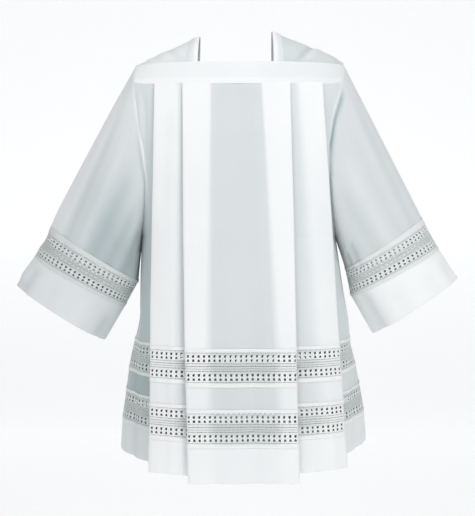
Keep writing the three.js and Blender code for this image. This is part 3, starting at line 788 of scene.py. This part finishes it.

# %% [markdown]
# ## Shoulders and neck hems
# A shoulder arches from the front band over its ridge to the back band. Its folds run up from the
# band, and each valley is painted a little darker, as painted shade. The neck's upright edge has a
# narrow hem.

# %% Shoulders
RIDGE = {
    LEFT: table(["x", "z"], [
        (72, -8), (94, -18), (132, -36), (160, -50), (182, -61), (197, -66)]),
    RIGHT: table(["x", "z"], [
        (72, 2), (96, -10), (116, -18), (148, -31), (184, -44), (212, -61.5)]),
}
RIDGE_OVER = 6.0  # the ridge's height is averaged this far both ways
ARCH = 0.9  # 1 is a round arch from band to band; less is fuller
# Painted light and shade: each shoulder's whiteness is set for the light on it, the right one
# darker.
SHOULDER_WHITE_AND_SHADE = {LEFT: 0.5, RIGHT: -0.1}
# Painted shade in a fold's valley, and a painted highlight on a ridge.
DIP_PAINTED_SHADE = 0.12  # how much darker a fold's valley looks, for each millimetre
NECK_HEM_STAND = 0.9
NECK_HEM_EDGE = 1.3  # how far the fold lies beyond the shoulder's edge
SHOULDER_TUCK = (3.0, 1.6)  # how far a shoulder reaches down behind the band, and inwards
# Soft folds on the shoulders. Across is the share from the neck to the sleeve, along is the roll
# from the front edge (-1) over the ridge (0) to the back edge (1).
SHOULDER_CREASES = {
    LEFT: table(CREASE_COLUMNS, [
        (0.13, -1.1, 0.4, -0.35, 2.0, 0.05), (0.4, -1.0, 0.66, -0.3, 1.6, 0.06),
        (0.88, -0.95, 0.8, -0.3, 1.6, 0.05), (0.35, -0.7, 0.35, 0.6, 2.5, 0.22),
        (0.3, 1.0, 0.45, 0.2, 1.4, 0.07), (0.75, 1.0, 0.7, 0.1, 1.2, 0.08),
    ]),
    RIGHT: table(CREASE_COLUMNS, [
        (0.19, -1.05, 0.52, -0.25, 3.4, 0.04), (0.29, -1.05, 0.6, -0.3, -1.8, 0.05),
        (0.84, -0.95, 0.78, -0.3, 1.6, 0.05), (0.35, 1.0, 0.5, 0.2, 1.5, 0.07),
        (0.8, 1.0, 0.72, 0.1, 1.3, 0.08),
    ]),
}


def shoulder_grid(side, shares, rolls):
    """Points of a shoulder: shares from the neck to the sleeve, rolls from front to back."""
    grid = []
    ridge = RIDGE[side]
    for roll in rolls:
        face = FRONT if roll < 0 else BACK
        start = neck_share(side, face)
        foot = band_points(side, face, start + (1 - start) * shares, BAND_TOP, 1)
        out = ridge["x"][0] + (ridge["x"][-1] - ridge["x"][0]) * shares
        top = sum(
            np.interp(out + d, ridge["x"], ridge["z"]) for d in (-RIDGE_OVER, 0, RIDGE_OVER)) / 3
        bow = abs(roll) * math.pi / 2
        foot[:, 2] -= SHOULDER_TUCK[0]
        foot[:, 1] -= face * np.minimum(SHOULDER_TUCK[1], np.abs(foot[:, 1]))
        rise = math.cos(bow) ** ARCH if abs(roll) < 1 else 0.0
        inset = creases(SHOULDER_CREASES[side], shares, roll)
        x = side * out + (foot[:, 0] - side * out) * abs(roll)
        y = (foot[:, 1] - face * inset) * math.sin(bow)
        z = foot[:, 2] + (top - foot[:, 2]) * rise - inset * math.cos(bow)
        grid.append(np.stack([x, y, z], axis=-1))
    return np.array(grid)


shoulder_rolls = np.linspace(-1, 1, 49)
shoulder_shares = np.linspace(0, 1, 45)
HEM_ACROSS = 6  # columns of the neck hem on each side of its fold
# Its whiteness: inside, at the fold, and on the outside from the fold to the stitched edge.
neck_hem_white = [0.9] * HEM_ACROSS + [1] + [1, 1, 0.6, 0.3, 0.25, 0.25]
for side in (LEFT, RIGHT):
    word = SIDE_NAME[side]
    width = RIDGE[side]["x"][-1] - RIDGE[side]["x"][0]
    inside = np.array([side * 140.0, 0, -110.0])  # a point under the shoulder
    dips = creases(SHOULDER_CREASES[side], shoulder_shares[None, :], shoulder_rolls[:, None])
    cloth(f"shoulder_{word}", shoulder_grid(side, shoulder_shares, shoulder_rolls),
          SHOULDER_WHITE_AND_SHADE[side] - DIP_PAINTED_SHADE * dips, centre=inside)
    # The neck hem is one strip folded round the edge: up the inside, over, and down the outside.
    across = np.linspace(0, NECK_HEM_WIDTH / width, HEM_ACROSS)
    plain = shoulder_grid(side, across, shoulder_rolls)
    facing = normals_of(plain)
    away = (plain + (0, 0, 90)) * (0, 1, 1)  # from a line well under the ridge
    facing *= np.sign((facing * away).sum(-1))[..., None]
    edge = plain[:, :1] - (side * NECK_HEM_EDGE, 0, 0)
    stand = facing * NECK_HEM_STAND
    grid = np.concatenate([(plain - stand)[:, ::-1], edge, plain + stand], axis=1)
    cloth(f"neck_hem_{word}", grid, neck_hem_white, centre=inside)
    print("shoulder", word, round(float(width)), "mm wide")

# %% [markdown]
# ## Sleeves
# A sleeve is a wide tube. Its rings are flattened ovals that turn from upright at the armhole to
# square across the arm at the cuff. Creases are placed by the angle round the sleeve and the way
# down it.

# %% Sleeve surface
SLEEVE_COLUMNS = ["ring", "topX", "topZ", "underX", "underZ", "front", "back"]
SLEEVES = {
    LEFT: table(SLEEVE_COLUMNS, [
        (1, 371, -393, 196, -494, 88, 91), (2, 396, -446, 221, -541, 86, 88),
        (3, 436, -500, 262, -610, 82, 84)]),
    RIGHT: table(SLEEVE_COLUMNS, [
        (1, 374, -376, 219, -469, 88, 91), (2, 402, -427, 230, -521, 86, 88),
        (3, 441, -486, 273, -597, 82, 84)]),
}
SLEEVE_ROUND = 0.86
SLEEVE_FULLNESS = 7.0
SLEEVE_GAP = 0.4  # between the armhole's edge and the sleeve
SLEEVE_TUCK = (3.0, 1.4)  # how far it reaches in under the body's edge, and inwards
DEGREE_LENGTH, RING_LENGTH = 1.8, 190.0  # a degree and a ring in millimetres, about
SLEEVE_WAVER, WAVER_FROM = 0.8, 0.2  # its faint swell, and the ring where that is full
# Places are degrees round the sleeve: 0 its upper edge, 90 its front, 180 underneath, 270 its back.
SLEEVE_CREASES = {
    LEFT: table(CREASE_COLUMNS, [
        (38, 0.02, 52, 1.05, 3.2, 8), (66, 0.1, 74, 0.95, -2.4, 7), (92, 0.05, 90, 1.0, 3.4, 9),
        (118, 0.18, 112, 1.0, 3.0, 8), (142, 0.1, 138, 0.9, 4.0, 9),
        (160, 0.3, 156, 1.1, -2.5, 7), (34, 2.1, 33, 3.2, 4, 10), (72, 2.2, 74, 3.2, 1.4, 8),
        (112, 2.1, 108, 3.2, -1.6, 9), (150, 2.2, 150, 3.2, 5, 11), (196, 0.2, 200, 1.1, 3.6, 9),
        (232, 0.1, 240, 1.0, 2.4, 10), (268, 0.05, 272, 1.05, -2.0, 9),
        (306, 0.05, 298, 1.0, 2.8, 10), (336, 0.1, 330, 1.0, 1.8, 8), (214, 2.1, 214, 3.2, 4, 12),
        (262, 2.2, 266, 3.2, 2.2, 9), (318, 2.1, 314, 3.2, 3, 10), (0, 0, 0, 0.85, -4.5, 32),
        (0, 1.3, 0, 2.6, -5, 35),
    ]),
    RIGHT: table(CREASE_COLUMNS, [
        (32, 0.02, 44, 1.05, 2.2, 8), (60, 0.08, 66, 0.9, 1.6, 8), (84, 0.1, 88, 1.0, -2.0, 8),
        (108, 0.1, 106, 0.98, 2.2, 9), (134, 0.55, 137, 1.12, 4.6, 6),
        (151, 0.62, 153, 1.1, 4.2, 5), (146, 1.85, 146, 3.2, 9, 11), (62, 2.2, 58, 3.2, 1.6, 9),
        (104, 2.1, 102, 3.2, 1.8, 8), (28, 2.2, 28, 3.2, 2.2, 9), (200, 0.15, 206, 1.05, 3.2, 9),
        (238, 0.1, 236, 1.0, -2.2, 9), (262, 0.05, 270, 1.0, 2.6, 9),
        (296, 0.05, 300, 1.0, 2.0, 9), (332, 0.05, 322, 1.05, 2.4, 9),
        (215, 2.0, 215, 3.2, 5, 13), (270, 2.1, 272, 3.2, 2.4, 10), (322, 2.2, 318, 3.2, 2.4, 9),
    ]),
}
# Valleys along the armhole's seam: across is the ring and along the degrees.
SLEEVE_SEAM_CREASES = {
    LEFT: table(CREASE_COLUMNS, [
        (0.05, 70, 0.03, 130, 1.6, 0.025), (0.04, 290, 0.03, 235, 2.0, 0.022)]),
    RIGHT: table(CREASE_COLUMNS, [
        (0.045, 38, 0.012, 84, 4.2, 0.018), (0.04, 60, 0.04, 150, 1.6, 0.03),
        (0.05, 300, 0.03, 240, 2.2, 0.022)]),
}
# How much darker the lower part of a sleeve looks, where it hangs in its own shade.
SLEEVE_SHADE = {LEFT: 0.7, RIGHT: 0.1}


def sleeve_creases(side, degrees, ring):
    """The creases of a sleeve; a crease near its upper edge shows on both sides of the start."""
    return sum(creases(SLEEVE_CREASES[side], degrees + turn, ring) for turn in (-360, 0, 360))


def sleeve_grid(side, rings, angles):
    """Points of a sleeve: rings from 0 at the armhole to 3 at the cuff's hem."""
    ring = np.asarray(rings, float)[:, None]
    angle = np.asarray(angles, float)[None, :]
    front = angle <= math.pi + 1e-9
    turned = np.minimum(angle, 2 * math.pi - angle)
    sine = np.abs(np.sin(turned)) ** SLEEVE_ROUND

    def column(name):
        return np.interp(np.maximum(ring, 1), SLEEVES[side]["ring"], SLEEVES[side][name])

    def line(word):
        return np.stack([side * column(word + "X"), 0 * ring, column(word + "Z")], -1)

    top, under = line("top"), line("under")
    place = (top + under) / 2 + (top - under) / 2 * np.cos(turned)[..., None]
    place[..., 1] = np.where(front, -column("front"), column("back")) * sine
    edges = [armhole(side, face, turned[0]) for face in (FRONT, BACK)]
    start = np.where(front[0][:, None], *edges) + (side * SLEEVE_GAP, 0, 0)
    share = np.clip(ring, 0, 1)
    grid = mix(start[None], place, share[..., None])
    # A ring below 0 lies under the body's edge, where the seam is.
    tuck = np.clip(-ring, 0, 1)[..., None]
    towards = unit(start.mean(axis=0) - start)
    grid = grid + tuck * (towards * SLEEVE_TUCK[1] - (side * SLEEVE_TUCK[0], 0, 0))
    grid[..., 1] += np.where(front, -1, 1) * SLEEVE_FULLNESS * np.sin(math.pi * share) * sine
    inward = unit(grid.mean(axis=1, keepdims=True) - grid)
    degrees = np.degrees(angle)
    inset = sleeve_creases(side, degrees, ring) + creases(SLEEVE_SEAM_CREASES[side], ring, degrees)
    swell = waver(degrees * DEGREE_LENGTH, ring * RING_LENGTH, 2.1 + side)
    inset = inset + SLEEVE_WAVER * swell * ramp(ring, 0, WAVER_FROM)
    return grid + inward * inset[..., None]


# %% [markdown]
# ## Sleeves, their lace and their cuffs
# The sleeve's cloth runs from just under the armhole's edge to the lace, and the cuff is a closed
# ring below it. The tone changes across the sleeve: a painted highlight along the upper edge, and
# painted shade towards the lower inner side.

# %% Cloth of the sleeves
ROUND_COLUMNS, HALF_COLUMNS = 145, 90
round_angles = np.linspace(0, 2 * math.pi, ROUND_COLUMNS)
sleeve_rings = np.concatenate([
    [-1, -0.4, 0, 0.008, 0.016, 0.03, 0.05, 0.075], np.linspace(0.1, 0.9985, 46)])
cuff_rings = np.linspace(2.005, 3, 20)
# Painted shade in the folds' valleys and along the seam, and a painted highlight on a ridge.
FOLD_PAINTED_SHADE, SEAM_PAINTED_SHADE = 0.07, 0.3  # how much darker a valley looks, for each millimetre
ALLOWANCE_WHITE = {LEFT: 0.75, RIGHT: 0.55}
ALLOWANCE = (0.02, 0.01)  # rings between which the seam allowance ends
LOW_RINGS, LOW_AROUND = (0.05, 0.7), (0.12, 0.52)  # the shade grows down and round the sleeve
# A painted highlight along the upper edge, which undoes the painted shade there, and its width.
EDGE_PAINTED_LIGHT, EDGE_WIDTH = 0.9, 0.25  # how far it is undone along the upper edge
# The cuffs are double cloth and white; the left one is painted in shade.
CUFF_WHITE_AND_SHADE = {LEFT: 0.15, RIGHT: 1.0}
# The left sleeve's lace is painted in shade.
SLEEVE_LACE_SHADE = {LEFT: -0.5, RIGHT: 0.0}
SLEEVE_LACE_HEIGHT = 57.0
HALF_GAP = 0.002  # radians between a lace half's end and the seam


def folds(side, rings):
    """Painted shade in a fold's valley, a little darker than the cloth beside it, and a painted
    highlight on a ridge.
    """
    ring, degrees = rings[:, None], np.degrees(round_angles)[None, :]
    along_seam = creases(SLEEVE_SEAM_CREASES[side], ring, degrees)
    return -FOLD_PAINTED_SHADE * sleeve_creases(side, degrees, ring) - SEAM_PAINTED_SHADE * along_seam


def sleeve_white(side):
    """Tone of a sleeve: white at the seam allowance, painted shade towards the lower inner side and
    in its folds, and a painted highlight along the upper edge.
    """
    ring, around = sleeve_rings[:, None], 1 - np.abs(round_angles / math.pi - 1)[None, :]
    allowance = ALLOWANCE_WHITE[side] * ramp(ring, *ALLOWANCE)
    low = ramp(ring, *LOW_RINGS) * ramp(around, *LOW_AROUND)
    edge = EDGE_PAINTED_LIGHT * np.exp(-((around / EDGE_WIDTH) ** 2))
    return np.maximum(
        allowance + SLEEVE_SHADE[side] * (edge - low) + folds(side, sleeve_rings), -1)


for side in (LEFT, RIGHT):
    word = SIDE_NAME[side]
    for part, rings, white, thickness in (
        ("sleeve", sleeve_rings, sleeve_white(side), CLOTH_THICKNESS),
        ("cuff", cuff_rings, CUFF_WHITE_AND_SHADE[side] + folds(side, cuff_rings), DOUBLE_THICKNESS),
    ):
        cloth(f"{part}_{word}", sleeve_grid(side, rings, round_angles), white, thickness, True)
    lap = sum(TAPE_LAP) / 2
    share = lap / SLEEVE_LACE_HEIGHT
    rings = np.linspace(1 - share, 2 + share, SLEEVE_LACE_ROWS)
    for face in (FRONT, BACK):
        first = 0 if face == FRONT else math.pi
        angles = np.linspace(first + HALF_GAP, first + math.pi - HALF_GAP, HALF_COLUMNS)
        lace(f"sleeve_{word}_lace_{FACE_NAME[face]}", sleeve_grid(side, rings, angles),
             SLEEVE_LACE_HEIGHT + 2 * lap, LACE_SEED["sleeve"] + 5 * side + face,
             SLEEVE_LACE_SHADE[side], TAPE_TONE["sleeve"], REPEAT[FRONT])
    print("sleeve", word, "made")

# %% [markdown]
# ## Stitching
# Each stitch is a small pointed bead that lies along its seam, and a whole seam is one mesh, so
# thousands of stitches stay light.

# %% Stitches
STITCH = (2.3, 0.28, 0.24)  # length, half width and half thickness
STITCH_PITCH = 3.1
STITCH_START = 1.5
SEAMS = [
    # pieces, their words, shares of the height, how far the stitches stand out
    ("yoke_{}_band", FACE_NAME, (0.1, 0.7), 0.95),
    ("{}_hem", FACE_NAME, (0.035,), 0.65),
    ("{}_lace_upper", FACE_NAME, (0.045, 0.95), 1.35),
    ("{}_lace_lower", FACE_NAME, (0.045, 0.95), 1.35),
    ("cuff_{}", SIDE_NAME, (0.03, 0.93), 0.65),
    ("sleeve_left_lace_{}", FACE_NAME, (0.055, 0.94), 1.35),
    ("sleeve_right_lace_{}", FACE_NAME, (0.055, 0.94), 1.35),
]


def stitches(node, shares, stand):
    """All the stitches of one piece, in rows at shares of its height."""
    grid = grids[node]
    normals = outward_normals(grid, node.startswith("cuff"))
    places, pointing, outward = [], [], []
    for share in shares:
        row = share * (len(grid) - 1)
        j = min(int(row), len(grid) - 2)
        line, facing = (mix(field[j], field[j + 1], row - j) for field in (grid, normals))
        lengths = lengths_along(line)
        starts = np.arange(STITCH_START, lengths[-1] - STITCH[0] - 1, STITCH_PITCH)
        here, ahead, out = (
            np.stack([np.interp(at, lengths, field[:, k]) for k in range(3)], -1)
            for field, at in ((line, starts), (line, starts + STITCH[0]), (facing, starts)))
        out = unit(out)
        places.append(here + out * stand)
        pointing.append(unit(ahead - here))
        outward.append(out)
    return beads(f"{node}_stitches", *map(np.concatenate, (places, pointing, outward)), STITCH)


for pattern, words, shares, stand in SEAMS:
    for word in words.values():
        node = pattern.format(word)
        extras[f"{node}_stitches"] = stitches(node, shares, stand)
print("kinds of seam:", len(SEAMS))

# %% [markdown]
# ## Materials
# One layer of the plain weave looks a cool pale grey, and where pleats or hems lie double it turns
# white, so the stored tone mixes two colours; below an open single layer the tone is painted shade,
# down to the grey end. The inside is painted shade too: it mixes a lit and a shaded colour by the
# stored light. Two crossed sets of fine ridges in real lengths make the weave, and a slow noise
# makes the yarn a little uneven. The finish is matt, with a soft sheen towards the edges.

# %% Cloth material


def set_inputs(node, **values):
    """Set a node's inputs; a name's spaces are written as underscores."""
    for key, value in values.items():
        node.inputs[key.replace("_", " ")].default_value = value
    return node


def new_material(name):
    material = bpy.data.materials.new(name)
    material.use_nodes = True
    return material, material.node_tree.nodes, material.node_tree.links


def new_node(nodes, kind, **values):
    node = nodes.new(kind)
    for key, value in values.items():
        setattr(node, key, value)
    return node


YARN_PITCH = 0.0006  # metres between neighbouring yarns
UNEVEN = 0.06  # how much the yarn's tone strays
WAVE_UNIT = 20 / (2 * math.pi)  # a wave texture of scale 1 has this many bands in a metre


def cloth_material(name, single, layered, yarn_depth, roughness, value="tone"):
    material, nodes, links = new_material(name)

    def join(start, output, end, entry):
        links.new(start.outputs[output], end.inputs[entry])

    shader = set_inputs(
        nodes["Principled BSDF"], Roughness=roughness, Sheen_Weight=0.12, Sheen_Roughness=0.5,
        Specular_IOR_Level=0.25)
    layers = new_node(nodes, "ShaderNodeAttribute", attribute_name=value)
    place = new_node(nodes, "ShaderNodeTexCoord")
    blotch = set_inputs(new_node(nodes, "ShaderNodeTexNoise"), Scale=9.0, Detail=3.0)
    uneven = set_inputs(new_node(nodes, "ShaderNodeMapRange"), To_Min=-UNEVEN, To_Max=UNEVEN)
    tone = new_node(nodes, "ShaderNodeMath", operation="ADD", use_clamp=True)
    colour = set_inputs(
        new_node(nodes, "ShaderNodeMix", data_type="RGBA"), A=(*single, 1), B=(*layered, 1))
    join(place, "Object", blotch, "Vector")
    join(blotch, "Fac", uneven, "Value")
    join(layers, "Fac", tone, 0)
    join(uneven, "Result", tone, 1)
    join(tone, "Value", colour, "Factor")
    join(colour, "Result", shader, "Base Color")

    weave = new_node(nodes, "ShaderNodeMath", operation="MAXIMUM")
    for entry, direction in enumerate("XY"):
        wave = set_inputs(
            new_node(nodes, "ShaderNodeTexWave", bands_direction=direction),
            Scale=1 / YARN_PITCH / WAVE_UNIT, Distortion=0.6)
        join(place, "UV", wave, "Vector")
        join(wave, "Fac", weave, entry)
    bump = set_inputs(
        new_node(nodes, "ShaderNodeBump"), Strength=yarn_depth, Distance=0.0002)
    join(weave, "Value", bump, "Height")
    join(bump, "Normal", shader, "Normal")
    return material


# The voile's colours at the ends of its tone: a single layer in painted shade, and white.
SHADED_VOILE = (0.40, 0.475, 0.485)
WHITE_VOILE = (0.92, 0.93, 0.935)
# The inside's painted shade and painted light, mixed by the stored light.
INSIDE_PAINTED_SHADE = (0.16, 0.175, 0.18)
INSIDE_PAINTED_LIGHT = (0.60, 0.65, 0.655)
# The lace's grey end is reached only in painted shade; its open ground mixes it with the white.
LACE_GROUND = (0.55, 0.60, 0.59)
LACE_WHITE = (0.93, 0.94, 0.93)
materials = {
    "sheer_cloth": cloth_material("sheer_voile", SHADED_VOILE, WHITE_VOILE, 0.25, 0.78),
    "double_cloth": cloth_material("double_voile", SHADED_VOILE, WHITE_VOILE, 0.25, 0.74),
    "lace": cloth_material("cotton_lace", LACE_GROUND, LACE_WHITE, 0.5, 0.85),
    "thread": cloth_material("sewing_thread", WHITE_VOILE, WHITE_VOILE, 0.3, 0.55),
    "inside": cloth_material("inside_of_voile_painted_shade", INSIDE_PAINTED_SHADE, INSIDE_PAINTED_LIGHT, 0.25, 0.85, "light"),
}
print("materials:", ", ".join(materials))

# %% [markdown]
# ## Tying the pieces to the frame
# Each piece takes the place of the plain solid of its own name, rides on the garment's one body and
# takes its finish from the record's slot. The flat size each sheet was cut to is worked out but not
# stored.

# %% Replace and ride
slots = {row["node"]: row["material_slot"] for row in frame["record"]["subparts"]}


def flat_size(grid):
    """Width along the cloth and length down it, in metres, and the area of the cut."""
    across, down = np.diff(grid, axis=1), np.diff(grid, axis=0)
    width = np.linalg.norm(across, axis=-1).sum(axis=1).max()
    length = np.linalg.norm(down, axis=-1).sum(axis=0).max()
    area = np.linalg.norm(np.cross(across[:-1], down[:, :-1]), axis=-1).sum()
    return width * MM, length * MM, min(area, width * length) * MM * MM


for node, piece in pieces.items():
    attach(piece, "root")
    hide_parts(node)
    piece.data.materials.append(materials[slots[node]])
    # The inside of every piece but the neck hems takes the painted shade of the inside.
    piece.data.materials.append(materials[slots[node] if node.startswith("neck") else "inside"])
    width, length, area = flat_size(grids[node])

for name, piece in extras.items():
    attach(piece, "root")
    knots = not name.endswith("stitches")
    piece.data.materials.append(materials["lace" if knots else "thread"])

# %% [markdown]
# ## Stage, light and camera
# A pale floor bends up into a pale wall without an edge, so nothing draws the eye from the cloth.

# %% Floor and wall
FLOOR, FLOOR_FRONT = -1450.0, -5200.0
WALL = 4700.0  # far enough back for a camera to pass behind the garment
WALL_TOP, HALF_WIDTH = 3200.0, 4200.0
BEND, BEND_STEPS = 900.0, 16  # the paper's bend from floor to wall


def backdrop():
    across = np.linspace(-HALF_WIDTH, HALF_WIDTH, 9)
    profile = [(FLOOR_FRONT, FLOOR)]
    for k in range(BEND_STEPS + 1):
        angle = math.pi / 2 * k / BEND_STEPS
        profile.append(
            (WALL - BEND + BEND * math.sin(angle), FLOOR + BEND - BEND * math.cos(angle)))
    profile.append((WALL, WALL_TOP))
    grid = np.array([[(x, y, z) for x in across] for y, z in profile])
    obj = make_mesh("backdrop", grid.reshape(-1, 3), grid_faces(len(profile), len(across)))
    material, nodes, _ = new_material("pale_paper")
    set_inputs(
        nodes["Principled BSDF"], Base_Color=(0.93, 0.93, 0.93, 1), Roughness=0.9,
        Emission_Color=(1, 1, 1, 1), Emission_Strength=0.36)
    obj.data.materials.append(material)


backdrop()
print("backdrop made")

# %% [markdown]
# ## Lamps
# The larger an area lamp is for its distance, the softer its shadows. The key lamp comes from the
# upper right; the others only lift its shadows.

# %% Lamps
LAMPS = [
    # name, place, size, power
    ("key", (1.8, -2.1, 1.3), 1.4, 36),
    ("fill", (-1.8, -2.2, 1.3), 2.0, 30),
    ("top", (0.3, -0.2, 1.8), 1.6, 8),
]
aim = Vector((0.0, 0.0, -0.45))
for name, place, size, power in LAMPS:
    lamp = bpy.data.lights.new(name, "AREA")
    lamp.size = size
    lamp.energy = power
    holder = bpy.data.objects.new(name, lamp)
    holder.location = place
    holder.rotation_euler = (aim - holder.location).to_track_quat("-Z", "Y").to_euler()
    bpy.context.scene.collection.objects.link(holder)

world = bpy.data.worlds.new("studio")
world.use_nodes = True
set_inputs(world.node_tree.nodes["Background"], Color=(0.95, 0.975, 1.0, 1), Strength=0.37)
bpy.context.scene.world = world
bpy.context.scene.view_settings.view_transform = "Standard"
print("lamps:", len(LAMPS))

# %% [markdown]
# ## Camera
# A long lens from three metres keeps the upright folds straight. It is worked out from the height
# that the picture covers at the garment's middle.

# %% Camera
VIEW_DISTANCE = 3.0
CAMERA_HEIGHT = -0.300
PICTURE_HEIGHT = 1.032  # metres that the picture's height covers at the garment's middle
PICTURE_MIDDLE = (0.003, -0.448)
camera = bpy.data.objects.new("camera", bpy.data.cameras.new("camera"))
camera.location = (PICTURE_MIDDLE[0], -VIEW_DISTANCE, CAMERA_HEIGHT)
look = Vector((PICTURE_MIDDLE[0], 0, PICTURE_MIDDLE[1])) - camera.location
camera.rotation_euler = look.to_track_quat("-Z", "Y").to_euler()
camera.data.sensor_width = 36
camera.data.lens = camera.data.sensor_width * look.length / PICTURE_HEIGHT
camera.data.clip_end = 50
bpy.context.scene.collection.objects.link(camera)
bpy.context.scene.camera = camera
print("lens", round(camera.data.lens, 1), "mm")

# %% Finish
bpy.context.view_layer.update()
